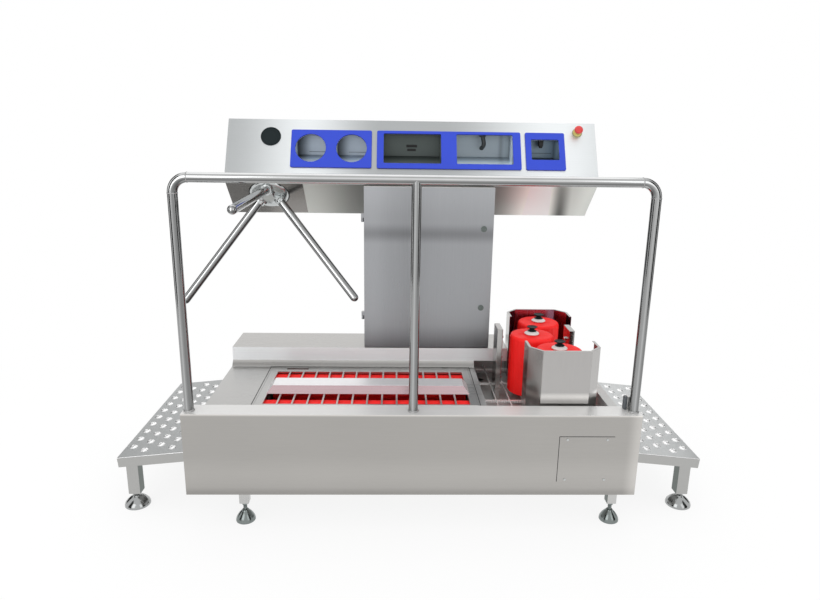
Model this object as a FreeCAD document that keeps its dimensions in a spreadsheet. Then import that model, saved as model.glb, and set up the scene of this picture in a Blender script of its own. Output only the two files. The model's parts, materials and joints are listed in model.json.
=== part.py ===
import FreeCAD, Part
import math
import os

import Sketcher
from FreeCAD import Placement, Rotation, Vector

# Boot washer with hand wash and turnstile, in millimetres.
# X runs along the front wall, Y from the front wall to the back, Z up from the floor.
# The origin lies on the floor, under the middle of the station.

DIMENSIONS = {
    # Overall placing
    "front_face": -500, "floor_gap": 157, "deck_height": 515, "tub_half": 857, "tub_depth": 800,
    # Sheet thicknesses
    "sheet": 3, "cover_sheet": 2, "access_sheet": 1.5,
    # Front wall and its service cover
    "wall_half": 930, "strip_depth": 95, "access_left": 598.5, "access_right": 826.5,
    "access_bottom": 217, "access_top": 421, "access_lap": 25, "screw_inset_x": 32, "screw_inset_z": 12,
    "screw_head": 5, "screw_head_height": 2, "screw_shank": 2.5, "screw_length": 8,
    # Handrail
    "rail_radius": 19, "rail_bore": 17, "rail_half_span": 905, "rail_setback": 40, "rail_height": 1442,
    "rail_bend": 58, "bracket_left": 871, "bracket_right": 895, "bracket_front": 62, "bracket_back": 82,
    "bracket_height": 56,
    # Legs and feet
    "leg_side": 40, "leg_bottom": 85, "leg_left": -708, "leg_right": 856, "leg_right_rear": 836,
    "leg_front": 65, "leg_rear": 730, "pad_radius": 41, "pad_rim": 8, "pad_cone_top": 50, "pad_neck": 13,
    "stud_radius": 8, "step_pad_radius": 54, "step_pad_rim": 10, "step_pad_cone_top": 48,
    "step_pad_neck": 16, "step_leg_bottom": 64,
    # Lift-up grating over the sole brushes
    "grating_left": -660, "grating_right": 274, "grating_front": 95.6, "grating_back": 545,
    "grating_thickness": 9.7, "grating_gap": 0.6, "bars_left": -625, "bars_right": 241,
    "bars_front": 108, "bars_back": 483, "bar_width": 7.6, "bar_count": 13, "ledge": 12,
    "ledge_drop": 10, "hinge_pin": 3, "hinge_pin_length": 8, "running_gap": 0.05,
    "recess_left": -590, "recess_right": -486, "recess_front": 510, "recess_back": 528,
    "notch_middle": 167, "notch_width": 30, "notch_depth": 9,
    "hood_left": -630, "hood_right": 250, "hood_front": 213, "hood_back": 351, "hood_height": 30,
    "hood_slope": 25, "hood_wall": 2.6,
    # Sole brushes and their drive
    "roller_radius": 71, "roller_height": 432, "roller_front": 163, "roller_rear": 468,
    "roller_left": -640, "roller_right": 258, "roller_shaft": 10, "bearing_left": -690,
    "bearing_right": 272, "bearing_width": 20, "bearing_depth": 60, "bearing_top": 462,
    "sprocket_radius": 30, "sprocket_width": 8, "sprocket_left": -708, "chain_gap": 1,
    "chain_thickness": 6, "gearbox_left": -804, "gearbox_right": -724, "gearbox_depth": 110,
    "gearbox_cap": 10, "gearbox_grip": 20,
    "gearbox_top": 490,
    # Side-brush pit
    "pit_left": 309, "pit_right": 818, "pit_back": 785, "pit_floor": 398, "grate_top": 440,
    "rod_radius": 3, "rod_first": 326.5, "rod_pitch": 61.5, "rod_count": 8, "cross_bar_width": 12,
    "cross_bar_height": 6, "ring_bore": 24, "ring_outer": 34, "shaft_hole": 14, "drain_hole": 18,
    "drain_left": 360, "drain_depth": 690,
    # Upright brushes
    "brush_radius": 100, "brush_bottom": 448, "brush_top": 722, "brush_edge": 22,
    "spindle_radius": 10, "spindle_bottom": 345, "washer_radius": 34, "washer_top": 736,
    "washer_crown": 728, "nut_radius": 21, "nut_neck": 11, "nut_height": 22, "spindle_top": 752,
    "brush_front_left": 631, "brush_front_depth": 228, "brush_middle_left": 555,
    "brush_middle_depth": 439, "brush_rear_left": 631, "brush_rear_depth": 650,
    "motor_radius": 45, "motor_bottom": 300,
    # Guards and spray posts round the upright brushes
    "guard_middle": 636, "guard_half": 152, "guard_face_half": 101, "guard_bevel": 56,
    "guard_front_face": 108, "guard_front_end": 250, "guard_rear_face": 770, "guard_rear_end": 628,
    "guard_top": 751, "guard_sheet": 2, "guard_hem": 11, "guard_foot_width": 34,
    "guard_foot_gap": 4.5,
    "post_width": 26, "post_depth": 102, "post_left": 391.5, "post_left_front": 412,
    "post_right": 716, "post_right_front": 393,
    # Rear plinth
    "cove_front": 548, "plinth_front": 572, "plinth_height": 605, "cove_height": 26,
    "plinth_end": 470,
    # Approach steps
    "step_outer": 1268, "step_inner": 870, "step_edge_height": 242, "step_rise": 0.1,
    "step_front": 150, "step_back": 1003.5, "apron_height": 45, "tread_sheet": 3,
    "step_leg_side": 50, "step_leg_middle": 1211, "step_leg_front": 183.5,
    "step_leg_back": 945,
    "hook_front": 300, "hook_back": 800, "hook_width": 40, "hook_height": 25,
    "hook_gap": 12,
    # Cabinet, its door and what is inside
    "cabinet_left": -223, "cabinet_right": 377, "cabinet_front": 598, "cabinet_top": 1374,
    "cabinet_sheet": 2, "cabinet_flange": 25, "door_front": 576, "door_gap": 2, "door_sheet": 2,
    "hinge_left": -231, "knuckle_radius": 6, "knuckle_pin": 3, "hinge_low": 742, "hinge_high": 1210,
    "hinge_height": 40, "hinge_leaf": 10, "lock_left": 332, "lock_low": 809, "lock_high": 1186,
    "lock_head": 14, "lock_shaft": 8, "lock_reach": 604, "cam_length": 26, "cam_width": 12,
    "cam_thickness": 3, "lock_head_height": 6, "lock_gap": 0.3, "lock_slot_half": 10,
    "lock_slot_depth": 2, "lock_slot_width": 3,
    "plate_left": -180, "plate_right": 330, "plate_bottom": 800, "plate_top": 1190,
    "plate_setback": 770, "plate_rail": 30, "gear_left": -120, "drive_left": -100,
    "gear_depth": 70, "gear_height": 90, "gear_width": 52, "gear_pitch": 68,
    "gear_count": 6, "gear_bottom": 1060, "drive_bottom": 860, "drive_height": 150, "drive_width": 90,
    "drive_pitch": 130, "drive_count": 3, "drive_depth": 105,
    "tank_left": 90, "tank_right": 310, "tank_front": 630, "tank_back": 760, "tank_height": 170,
    "tank_cap": 24, "tank_cap_height": 22, "tank_wall": 3,
    # Console
    "console_half": 857, "nose_depth": 598, "nose_height": 1400, "crest_depth": 744,
    "crest_height": 1666, "console_back_depth": 800, "console_low_depth": 780,
    "console_low_height": 1227, "console_sheet": 2, "back_flange": 22, "back_lap": 8,
    "bezel_low": 59, "bezel_high": 249, "bezel_thickness": 6, "bezel_corner": 8,
    "bezel_one_left": -562, "bezel_one_right": -190, "bezel_two_left": -166, "bezel_two_right": 502,
    "bezel_three_left": 523.5, "bezel_three_right": 708,
    "hand_hole": 70, "hand_hole_left": -471, "hand_hole_right": -283, "hand_hole_rise": 157,
    "dryer_left": -135, "dryer_right": 131, "basin_left": 203, "basin_right": 465,
    "window_low": 85, "window_high": 235, "soap_left": 551, "soap_right": 680, "soap_low": 111,
    "soap_high": 214, "window_corner": 6, "niche_back": 785, "niche_step": 1505, "niche_drop": 1452,
    "niche_gutter": 20, "niche_wall": 1.5, "niche_margin": 6,
    "reader_left": -657, "reader_rise": 214.5, "reader_radius": 46.3, "reader_thickness": 4,
    "stop_left": 771, "stop_rise": 253, "stop_base": 23, "stop_collar": 20, "stop_collar_top": 18,
    "stop_stem": 8, "stop_head": 20, "stop_head_bottom": 26, "stop_head_top": 41, "stop_socket": 2,
    "stop_rounding": 7,
    "spout_left": 328, "spout_front": 725, "spout_radius": 9, "spout_drop": 52,
    "spout_lip": 22.5,
    "vent_width": 52, "vent_depth": 3, "vent_low": 1529, "vent_high": 1556,
    "soap_nozzle_left": 607, "soap_nozzle_width": 22, "soap_nozzle_height": 26,
    "soap_nozzle_depth": 30, "soap_nozzle_setback": 725,
    # Turnstile
    "rotor_left": -670, "apex_depth": 700, "apex_height": 1353.6, "cone_angle": 43.9,
    "arm_phase": 2.4, "arm_radius": 19, "arm_bore": 16, "arm_start": 30, "arm_length": 675,
    "hub_radius": 91, "hub_face": 47, "hub_back": 14, "collar_radius": 26, "collar_length": 92,
    "collar_start": 45, "hub_opening": 94, "axle_radius": 15, "axle_length": 68,
    "housing_radius": 60, "housing_start": 30, "housing_length": 45, "yoke_half_width": 120,
    "yoke_half_depth": 74, "yoke_start": 22, "standoff_radius": 8, "standoff_half_width": 105,
    "standoff_half_depth": 60, "cover_left": -857, "cover_right": -505, "cover_low": 18,
    "cover_high": 244,
    # Drain spigot
    "spigot_radius": 25, "spigot_bore": 21, "spigot_bottom": 120, "spigot_left": 200,
    "spigot_depth": 400,
}

document = FreeCAD.newDocument("BootWasher")
sheet = document.addObject("Spreadsheet::Sheet", "Dims")
for row, (alias, number) in enumerate(DIMENSIONS.items(), start=1):
    sheet.set(f"A{row}", alias.replace("_", " "))
    sheet.set(f"B{row}", str(number))
    sheet.setAlias(f"B{row}", alias)
document.recompute()


class Size:
    """A length that knows both its value and its formula in the sheet."""

    def __init__(self, text, value):
        self.text = text
        self.value = value

    @staticmethod
    def of(item):
        if isinstance(item, Size):
            return item
        return Size(f"({item})" if item < 0 else str(item), float(item))

    def __add__(self, other):
        other = Size.of(other)
        return Size(f"({self.text} + {other.text})", self.value + other.value)

    def __radd__(self, other):
        return Size.of(other) + self

    def __sub__(self, other):
        other = Size.of(other)
        return Size(f"({self.text} - {other.text})", self.value - other.value)

    def __rsub__(self, other):
        return Size.of(other) - self

    def __mul__(self, other):
        other = Size.of(other)
        return Size(f"({self.text} * {other.text})", self.value * other.value)

    def __rmul__(self, other):
        return Size.of(other) * self

    def __truediv__(self, other):
        other = Size.of(other)
        return Size(f"({self.text} / {other.text})", self.value / other.value)

    def __neg__(self):
        return Size(f"(0 - {self.text})", -self.value)


class Dims:
    """Every dimension of the sheet, as an attribute of its own."""


for alias in DIMENSIONS:
    setattr(Dims, alias, Size(f"Dims.{alias}", float(sheet.get(alias))))
D = Dims
RIGHT = Vector(1, 0, 0)
INWARD = Vector(0, 1, 0)
UP = Vector(0, 0, 1)
subparts = []


def back(depth):
    """Y of a point that lies depth behind the face of the front wall."""
    return D.front_face + depth


def deep(front, rear):
    """The Y of two depths behind the face of the front wall."""
    return back(front), back(rear)


def around(middle, half):
    """The two values at a half width on both sides of a middle."""
    return middle - half, middle + half


def bind(item, name, size):
    """Bind one property of an object to its formula."""
    item.setExpression(name, Size.of(size).text)


def locate(item, corner, rotation=Rotation()):
    """Place an object by formulas, turned by a fixed rotation."""
    item.Placement = Placement(Vector(*[Size.of(value).value for value in corner]), rotation)
    for axis, value in zip("xyz", corner):
        bind(item, f"Placement.Base.{axis}", value)
    return item


def block(name, across, along, up, rotation=Rotation()):
    """A box between two formulas in each direction."""
    item = document.addObject("Part::Box", name)
    for side, (low, high) in zip(("Length", "Width", "Height"), (across, along, up)):
        bind(item, side, Size.of(high) - low)
    return locate(item, (across[0], along[0], up[0]), rotation)


def rod(name, radius, length, start, direction=UP):
    """A cylinder from its start along a direction."""
    item = document.addObject("Part::Cylinder", name)
    bind(item, "Radius", radius)
    bind(item, "Height", length)
    return locate(item, start, Rotation(UP, direction))


def cone(name, low_radius, high_radius, length, start):
    """An upright cone or funnel."""
    item = document.addObject("Part::Cone", name)
    bind(item, "Radius1", low_radius)
    bind(item, "Radius2", high_radius)
    bind(item, "Height", length)
    return locate(item, start)


def fuse(name, pieces):
    """One solid out of touching pieces."""
    item = document.addObject("Part::MultiFuse", name)
    item.Shapes = pieces
    item.Refine = True
    return item


def group(name, pieces):
    """Separate solids that share one node."""
    item = document.addObject("Part::Compound", name)
    item.Links = pieces
    return item


def cut(name, base, tools):
    """The base without the tools."""
    tool = tools[0] if len(tools) == 1 else fuse(name + "_tools", tools)
    item = document.addObject("Part::Cut", name)
    item.Base = base
    item.Tool = tool
    item.Refine = True
    return item


def subpart(name, item):
    """Name an object as a sub-part that is written out."""
    item.Label = name
    subparts.append(item)
    return item


def origin_plane(body, role):
    """The body's own origin plane with the given role."""
    return next(plane for plane in body.Origin.OriginFeatures if plane.Role == role)


def outline(body, name, role, points):
    """A closed outline whose corners are held by formulas, on one of the body's planes."""
    sketch = body.newObject("Sketcher::SketchObject", name)
    sketch.AttachmentSupport = (origin_plane(body, role), [""])
    sketch.MapMode = "FlatFace"
    corners = [tuple(Size.of(value) for value in point) for point in points]
    count = len(corners)
    for index in range(count):
        here = corners[index]
        there = corners[(index + 1) % count]
        sketch.addGeometry(Part.LineSegment(Vector(here[0].value, here[1].value, 0),
                                            Vector(there[0].value, there[1].value, 0)), False)
    for index in range(count):
        sketch.addConstraint(Sketcher.Constraint("Coincident", index, 2, (index + 1) % count, 1))
    for index, corner in enumerate(corners):
        for kind, size in zip(("DistanceX", "DistanceY"), corner):
            number = sketch.addConstraint(Sketcher.Constraint(kind, -1, 1, index, 1, size.value))
            sketch.setExpression(f"Constraints[{number}]", size.text)
    return sketch


def prism(name, role, points, length, start=(0, 0, 0), rotation=Rotation()):
    """A body with one outline, padded from its plane."""
    body = document.addObject("PartDesign::Body", name)
    sketch = outline(body, name + "_outline", role, points)
    pad = body.newObject("PartDesign::Pad", name + "_pad")
    pad.Profile = sketch
    bind(pad, "Length", length)
    sketch.Visibility = False
    body.Tip = pad
    return locate(body, start, rotation)


def rectangle(low_x, high_x, low_y, high_y):
    """The corners of a rectangle."""
    return [(low_x, low_y), (high_x, low_y), (high_x, high_y), (low_x, high_y)]


def round_upright_edges(body, radius):
    """Round the edges of a padded body that run along its pad."""
    document.recompute()
    pad = body.Tip
    direction = pad.Profile[0].Placement.Rotation.multVec(UP)
    names = []
    for number, edge in enumerate(pad.Shape.Edges, start=1):
        run = edge.Vertexes[-1].Point - edge.Vertexes[0].Point
        if run.Length > 0 and abs(run.normalize() * direction) > 0.999:
            names.append(f"Edge{number}")
    fillet = body.newObject("PartDesign::Fillet", body.Name + "_corners")
    fillet.Base = (pad, names)
    bind(fillet, "Radius", radius)
    body.Tip = fillet
    return body


def along_x(name, points, low, high):
    """A prism between two values of X, with its outline given in depth and height."""
    corners = [(back(depth), height) for depth, height in points]
    return prism(name, "YZ_Plane", corners, Size.of(high) - low, (low, 0, 0))


def drawn_in(points, amount):
    """The same outline, drawn in by an amount on every side."""
    corners = [Vector(Size.of(first).value, Size.of(second).value, 0) for first, second in points]
    count = len(corners)
    area = sum(corners[index - 1].x * corners[index].y - corners[index].x * corners[index - 1].y
               for index in range(count))
    side = math.copysign(1, area)
    result = []
    for index, (first, second) in enumerate(points):
        before = (corners[index] - corners[index - 1]).normalize()
        after = (corners[(index + 1) % count] - corners[index]).normalize()
        normals = [Vector(-run.y * side, run.x * side, 0) for run in (before, after)]
        mitre = (normals[0] + normals[1]) / (1 + normals[0] * normals[1])
        result.append((first + amount * mitre.x, second + amount * mitre.y))
    return result


# Directions of the console: its sloping face and its underside, both starting at the nose

face_run = Vector(0, D.crest_depth.value - D.nose_depth.value, D.crest_height.value - D.nose_height.value)
face_angle = math.degrees(math.atan2(face_run.z, face_run.y))
FACE = Rotation(RIGHT, face_angle)
under_run = Vector(0, D.console_low_depth.value - D.nose_depth.value,
                   D.console_low_height.value - D.nose_height.value)
under_angle = math.degrees(math.atan2(under_run.z, under_run.y))
UNDER = Rotation(RIGHT, under_angle)


def beside_nose(rotation, across, rise, out):
    """A point given by X, the run from the nose and the distance out of that plane."""
    offset = rotation.multVec(Vector(0, Size.of(rise).value, Size.of(out).value))
    return (across, back(D.nose_depth + offset.y), D.nose_height + offset.z)


def face_block(name, across, rise, out):
    """A box on the console's sloping face."""
    item = document.addObject("Part::Box", name)
    for side, (low, high) in zip(("Length", "Width", "Height"), (across, rise, out)):
        bind(item, side, Size.of(high) - low)
    return locate(item, beside_nose(FACE, across[0], rise[0], out[0]), FACE)


def face_plate(name, across, rise, out, corner):
    """A plate with rounded corners on the console's sloping face."""
    points = rectangle(0, across[1] - across[0], 0, rise[1] - rise[0])
    start = beside_nose(FACE, across[0], rise[0], out[0])
    body = prism(name, "XY_Plane", points, Size.of(out[1]) - out[0], start, FACE)
    return round_upright_edges(body, corner)


def face_rod(name, radius, across, rise, out):
    """A cylinder square to the console's sloping face."""
    start = beside_nose(FACE, across, rise, out[0])
    return rod(name, radius, Size.of(out[1]) - out[0], start, FACE.multVec(UP))


# Front wall

def front_wall():
    """The sheet at the front, with its top strip, foot and ends folded back."""
    pieces = [
        block("wall_sheet", (-D.wall_half, D.wall_half), deep(0, D.sheet), (D.floor_gap, D.deck_height)),
        block("wall_strip", (-D.wall_half, D.wall_half), deep(0, D.strip_depth),
              (D.deck_height - D.sheet, D.deck_height)),
        block("wall_foot", (-D.wall_half, D.wall_half), deep(0, D.strip_depth),
              (D.floor_gap, D.floor_gap + D.sheet)),
    ]
    for side, low, high in (("left", -D.wall_half, D.sheet - D.wall_half),
                            ("right", D.wall_half - D.sheet, D.wall_half)):
        pieces.append(block(f"wall_{side}", (low, high), deep(0, D.strip_depth),
                            (D.floor_gap, D.deck_height)))
    wall = fuse("wall_whole", pieces)
    window = block("wall_window", (D.access_left + D.access_lap, D.access_right - D.access_lap),
                   deep(-1, D.sheet + 1),
                   (D.access_bottom + D.access_lap, D.access_top - D.access_lap))
    holes = [rod(f"wall_hole_{number}", D.screw_shank, D.sheet + 2, (across, back(-1), up), INWARD)
             for number, (across, up) in enumerate(screw_places())]
    subpart("front_panel", cut("front_panel", wall, [window] + holes))


def screw_places():
    """X and height of the four screws of the service cover."""
    return [(across, up)
            for across in (D.access_left + D.screw_inset_x, D.access_right - D.screw_inset_x)
            for up in (D.access_bottom + D.screw_inset_z, D.access_top - D.screw_inset_z)]


def service_cover():
    """The cover low on the front wall and its four screws."""
    plate = block("access_sheet_metal", (D.access_left, D.access_right), deep(-D.access_sheet, 0),
                  (D.access_bottom, D.access_top))
    holes = []
    screws = []
    for number, (across, up) in enumerate(screw_places()):
        holes.append(rod(f"access_hole_{number}", D.screw_shank, 2 * D.access_sheet,
                         (across, back(-1.5 * D.access_sheet), up), INWARD))
        head_face = back(-D.access_sheet - D.screw_head_height)
        head = rod(f"screw_head_{number}", D.screw_head, D.screw_head_height,
                   (across, head_face, up), INWARD)
        shank = rod(f"screw_shank_{number}", D.screw_shank, D.screw_length,
                    (across, back(-D.access_sheet), up), INWARD)
        screws.append(fuse(f"screw_{number}", [head, shank]))
    subpart("access_panel", cut("access_panel", plate, holes))
    subpart("access_screws", group("access_screws", screws))


# Handrail

def handrail():
    """One tube bent over both ends, and the middle post under it."""
    span = D.rail_half_span.value
    bend = D.rail_bend.value
    top = D.rail_height.value
    foot = D.deck_height.value
    depth = back(D.rail_setback).value
    slant = bend * (1 - math.sqrt(0.5))

    def spot(across, up):
        """A point on the plane of the handrail."""
        return Vector(across, depth, up)

    def corner(side):
        """The bend at one end, from the upright to the level run."""
        return Part.Arc(spot(side * span, top - bend), spot(side * (span - slant), top - slant),
                        spot(side * (span - bend), top)).toShape()

    path = Part.Wire([
        Part.makeLine(spot(-span, foot), spot(-span, top - bend)),
        corner(-1),
        Part.makeLine(spot(bend - span, top), spot(span - bend, top)),
        corner(1),
        Part.makeLine(spot(span, top - bend), spot(span, foot)),
    ])
    tubes = []
    for radius in (D.rail_radius.value, D.rail_bore.value):
        ring = Part.Wire(Part.makeCircle(radius, spot(-span, foot), UP))
        tubes.append(path.makePipeShell([ring], True, True))
    rail = document.addObject("Part::Feature", "handrail")
    rail.Shape = tubes[0].cut(tubes[1])
    subpart("handrail", rail)

    post_foot = (0, back(D.rail_setback), D.deck_height)
    post = rod("post_outer", D.rail_radius, D.rail_height - D.deck_height, post_foot)
    bore = rod("post_bore", D.rail_bore, D.rail_height - D.deck_height, post_foot)
    saddle = rod("post_saddle", D.rail_radius, 4 * D.rail_radius,
                 (-2 * D.rail_radius, back(D.rail_setback), D.rail_height), RIGHT)
    subpart("handrail_post", cut("handrail_post", post, [bore, saddle]))
    subpart("sensor_bracket", block("sensor_bracket", (D.bracket_left, D.bracket_right),
                                    deep(D.bracket_front, D.bracket_back),
                                    (D.deck_height, D.deck_height + D.bracket_height)))


# Tub

def tub():
    """Walls and floor of the tub behind the front wall, and its four legs."""
    deck_under = D.deck_height - D.sheet
    outside = block("tub_outside", (-D.tub_half, D.tub_half), deep(D.sheet, D.tub_depth),
                    (D.floor_gap + D.sheet, deck_under))
    inside = block("tub_inside", (D.sheet - D.tub_half, D.tub_half - D.sheet),
                   deep(2 * D.sheet, D.tub_depth - D.sheet), (D.floor_gap + 2 * D.sheet, D.deck_height))
    window = block("tub_window", (D.access_left + D.access_lap, D.access_right - D.access_lap),
                   deep(0, 3 * D.sheet),
                   (D.access_bottom + D.access_lap, D.access_top - D.access_lap))
    holes = [rod(f"tub_hole_{number}", D.screw_shank, 4 * D.sheet, (across, back(0), up), INWARD)
             for number, (across, up) in enumerate(screw_places())]
    outlet = rod("tub_outlet", D.spigot_bore, 4 * D.sheet,
                 (D.spigot_left, back(D.spigot_depth), D.floor_gap - D.sheet))
    subpart("tub_shell", cut("tub_shell", outside, [inside, window, outlet] + holes))

    half = D.leg_side / 2
    legs = []
    for name, middle, depth, top in leg_places():
        legs.append(block(f"leg_{name}", around(middle, half), around(back(depth), half),
                          (D.leg_bottom, top)))
    subpart("tub_legs", group("tub_legs", legs))


def leg_places():
    """Name, X, depth and top of each leg of the tub."""
    return [("front_left", D.leg_left, D.leg_front, D.floor_gap),
            ("front_right", D.leg_right, D.leg_front, D.floor_gap),
            ("rear_left", D.leg_left, D.leg_rear, D.floor_gap + D.sheet),
            ("rear_right", D.leg_right_rear, D.leg_rear, D.floor_gap + D.sheet)]


def foot(name, across, depth, pad, rim, neck, cone_top, stud_top):
    """A levelling foot: rim, cone and stud."""
    here = (across, back(depth))
    return fuse(name, [
        rod(name + "_rim", pad, rim, here + (0,)),
        cone(name + "_cone", pad, neck, cone_top - rim, here + (rim,)),
        rod(name + "_stud", D.stud_radius, stud_top - cone_top, here + (cone_top,)),
    ])


def feet():
    """The levelling feet under the tub and under both steps."""
    pads = [foot(f"tub_foot_{name}", middle, depth, D.pad_radius, D.pad_rim, D.pad_neck, D.pad_cone_top,
                 D.leg_bottom)
            for name, middle, depth, top in leg_places()]
    for side in (-1, 1):
        for depth in (D.step_leg_front, D.step_leg_back):
            pads.append(foot(f"step_foot_{len(pads)}", side * D.step_leg_middle, depth, D.step_pad_radius,
                             D.step_pad_rim, D.step_pad_neck, D.step_pad_cone_top, D.step_leg_bottom))
    subpart("levelling_feet", group("levelling_feet", pads))


def deck():
    """Sheet round the grating, with the ledge that the grating lies on."""
    gap = D.grating_gap
    pocket_x = (D.grating_left - gap, D.grating_right + gap)
    pocket_y = deep(D.grating_front - gap / 2, D.grating_back + gap)
    flat = block("deck_flat", (-D.tub_half, D.pit_left), deep(D.strip_depth, D.tub_depth),
                 (D.deck_height - D.sheet, D.deck_height))
    frame = block("deck_frame", (pocket_x[0] - D.sheet, pocket_x[1] + D.sheet),
                  (back(D.strip_depth - D.sheet), pocket_y[1] + D.sheet),
                  (D.deck_height - D.sheet - D.ledge_drop, D.deck_height - D.sheet))
    pocket = block("deck_pocket", pocket_x, pocket_y, (D.deck_height - D.ledge_drop, D.deck_height + 1))
    through = block("deck_through", (pocket_x[0] + D.ledge, pocket_x[1] - D.ledge),
                    (pocket_y[0] + D.ledge, pocket_y[1] - D.ledge), (D.roller_height, D.deck_height))
    pins = [rod(f"deck_pin_hole_{side}", D.hinge_pin + D.running_gap, D.hinge_pin_length,
                (across, hinge_line()[0], hinge_line()[1]), RIGHT)
            for side, across in (("left", pocket_x[0] - D.hinge_pin_length), ("right", pocket_x[1]))]
    subpart("deck_plate", cut("deck_plate", fuse("deck_whole", [flat, frame]), [pocket, through] + pins))


def hinge_line():
    """Y and height of the line that the grating turns about."""
    half = D.grating_thickness / 2
    return back(D.grating_front + half), D.deck_height - half


def rear_plinth():
    """Raised step behind the deck, bent from sheet, open underneath, over the pit's left part."""
    skin = D.sheet
    cove_top = D.deck_height + D.cove_height
    low = D.deck_height
    outer = along_x("plinth_outer", [(D.cove_front, low), (D.plinth_front, cove_top),
                                     (D.plinth_front, D.plinth_height), (D.tub_depth, D.plinth_height),
                                     (D.tub_depth, low)], -D.tub_half, D.plinth_end)
    inner = along_x("plinth_inner", [(D.cove_front + 1.5 * skin, low - 1),
                                     (D.plinth_front + skin, cove_top - 1),
                                     (D.plinth_front + skin, D.plinth_height - skin),
                                     (D.tub_depth - skin, D.plinth_height - skin),
                                     (D.tub_depth - skin, low - 1)], skin - D.tub_half, D.plinth_end - skin)
    over_pit = block("plinth_over_pit", (D.pit_left, D.plinth_end + 1), deep(D.cove_front - 1, D.pit_back),
                     (low - 1, cove_top))
    subpart("rear_plinth", cut("rear_plinth", outer, [inner, over_pit]))


# Lift-up grating and the hood over its middle

def hood_shape(name, inset, low, high):
    """The hood between two heights, drawn in by an inset, with all four sides leaning inwards."""
    wide, narrow = (inset + D.hood_slope / D.hood_height * (level - D.deck_height) for level in (low, high))
    item = document.addObject("Part::Wedge", name)
    bind(item, "Ymin", low)
    bind(item, "Ymax", high)
    for prefix, draw in (("X", wide), ("X2", narrow)):
        bind(item, prefix + "min", D.hood_left + draw)
        bind(item, prefix + "max", D.hood_right - draw)
    for prefix, draw in (("Z", wide), ("Z2", narrow)):
        bind(item, prefix + "min", draw - back(D.hood_back))
        bind(item, prefix + "max", -back(D.hood_front) - draw)
    return locate(item, (0, 0, 0), Rotation(RIGHT, 90))


def grating():
    """The bar grating with its round front edge and pins, and the hood on it."""
    thickness = D.grating_thickness
    low = D.deck_height - thickness
    width = D.grating_right - D.grating_left
    body = document.addObject("PartDesign::Body", "sole_grating_frame")
    frame = outline(body, "grating_outline", "XY_Plane",
                    rectangle(0, width, back(D.grating_front), back(D.grating_back)))
    pad = body.newObject("PartDesign::Pad", "grating_pad")
    pad.Profile = frame
    bind(pad, "Length", thickness)
    body.Tip = pad
    document.recompute()
    full_volume = pad.Shape.Volume
    pitch = (D.bars_right - D.bars_left + D.bar_width) / (D.bar_count + 1)
    first = D.bars_left - D.grating_left
    slot = outline(body, "grating_slot", "XY_Plane",
                   rectangle(first, first + pitch - D.bar_width, back(D.bars_front), back(D.bars_back)))
    pocket = body.newObject("PartDesign::Pocket", "grating_pocket")
    pocket.Profile = slot
    pocket.Type = "ThroughAll"
    pocket.Reversed = True
    body.Tip = pocket
    document.recompute()
    if pocket.Shape.Volume >= full_volume:
        raise RuntimeError("the first gap of the grating cuts nothing")
    pattern = body.newObject("PartDesign::LinearPattern", "grating_pattern")
    pattern.Originals = [pocket]
    pattern.Direction = (slot, ["H_Axis"])
    bind(pattern, "Length", pitch * D.bar_count)
    pattern.Occurrences = int(D.bar_count.value) + 1
    body.Tip = pattern
    locate(body, (D.grating_left, 0, low))

    turn = hinge_line()
    half = thickness / 2
    corner_cut = block("grating_front_cut", (D.grating_left - 1, D.grating_right + 1),
                       (back(D.grating_front - 1), turn[0]), (low - 1, D.deck_height + 1))
    recess = block("grating_recess", (D.recess_left, D.recess_right), deep(D.recess_front, D.recess_back),
                   (low - 1, D.deck_height + 1))
    notch = block("grating_notch", (D.notch_middle - D.notch_width / 2, D.notch_middle + D.notch_width / 2),
                  deep(D.grating_back - D.notch_depth, D.grating_back + 1), (low - 1, D.deck_height + 1))
    flat = cut("grating_flat", body, [corner_cut, recess, notch])
    nose = rod("grating_nose", half, width, (D.grating_left,) + turn, RIGHT)
    pins = [rod(f"grating_pin_{side}", D.hinge_pin, D.hinge_pin_length, (across,) + turn, RIGHT)
            for side, across in (("left", D.grating_left - D.hinge_pin_length + 1),
                                 ("right", D.grating_right - 1))]
    subpart("sole_grating", fuse("sole_grating", [flat, nose] + pins))

    top = D.deck_height + D.hood_height
    outer = hood_shape("hood_outer", Size.of(0), D.deck_height, top)
    inner = hood_shape("hood_inner", D.hood_wall, D.deck_height - 1, top - D.cover_sheet)
    subpart("centre_hood", cut("centre_hood", outer, [inner]))


# Sole brushes, their bearings and their chain

def sole_brushes():
    """The two lying brushes, each with its shaft and sprocket."""
    for name, depth, shaft_left in (("front", D.roller_front, D.gearbox_left + D.gearbox_grip),
                                    ("rear", D.roller_rear, D.sprocket_left - 2)):
        centre = (back(depth), D.roller_height)
        bristles = rod(f"{name}_bristles", D.roller_radius, D.roller_right - D.roller_left,
                       (D.roller_left,) + centre, RIGHT)
        bore = rod(f"{name}_bore", D.roller_shaft, D.roller_right - D.roller_left + 2,
                   (D.roller_left - 1,) + centre, RIGHT)
        subpart(f"sole_brush_{name}", cut(f"sole_brush_{name}", bristles, [bore]))
        shaft = rod(f"{name}_shaft", D.roller_shaft, D.bearing_right + D.bearing_width - shaft_left,
                    (shaft_left,) + centre, RIGHT)
        sprocket = rod(f"{name}_sprocket", D.sprocket_radius, D.sprocket_width,
                       (D.sprocket_left,) + centre, RIGHT)
        subpart(f"sole_shaft_{name}", fuse(f"sole_shaft_{name}", [shaft, sprocket]))


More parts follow.
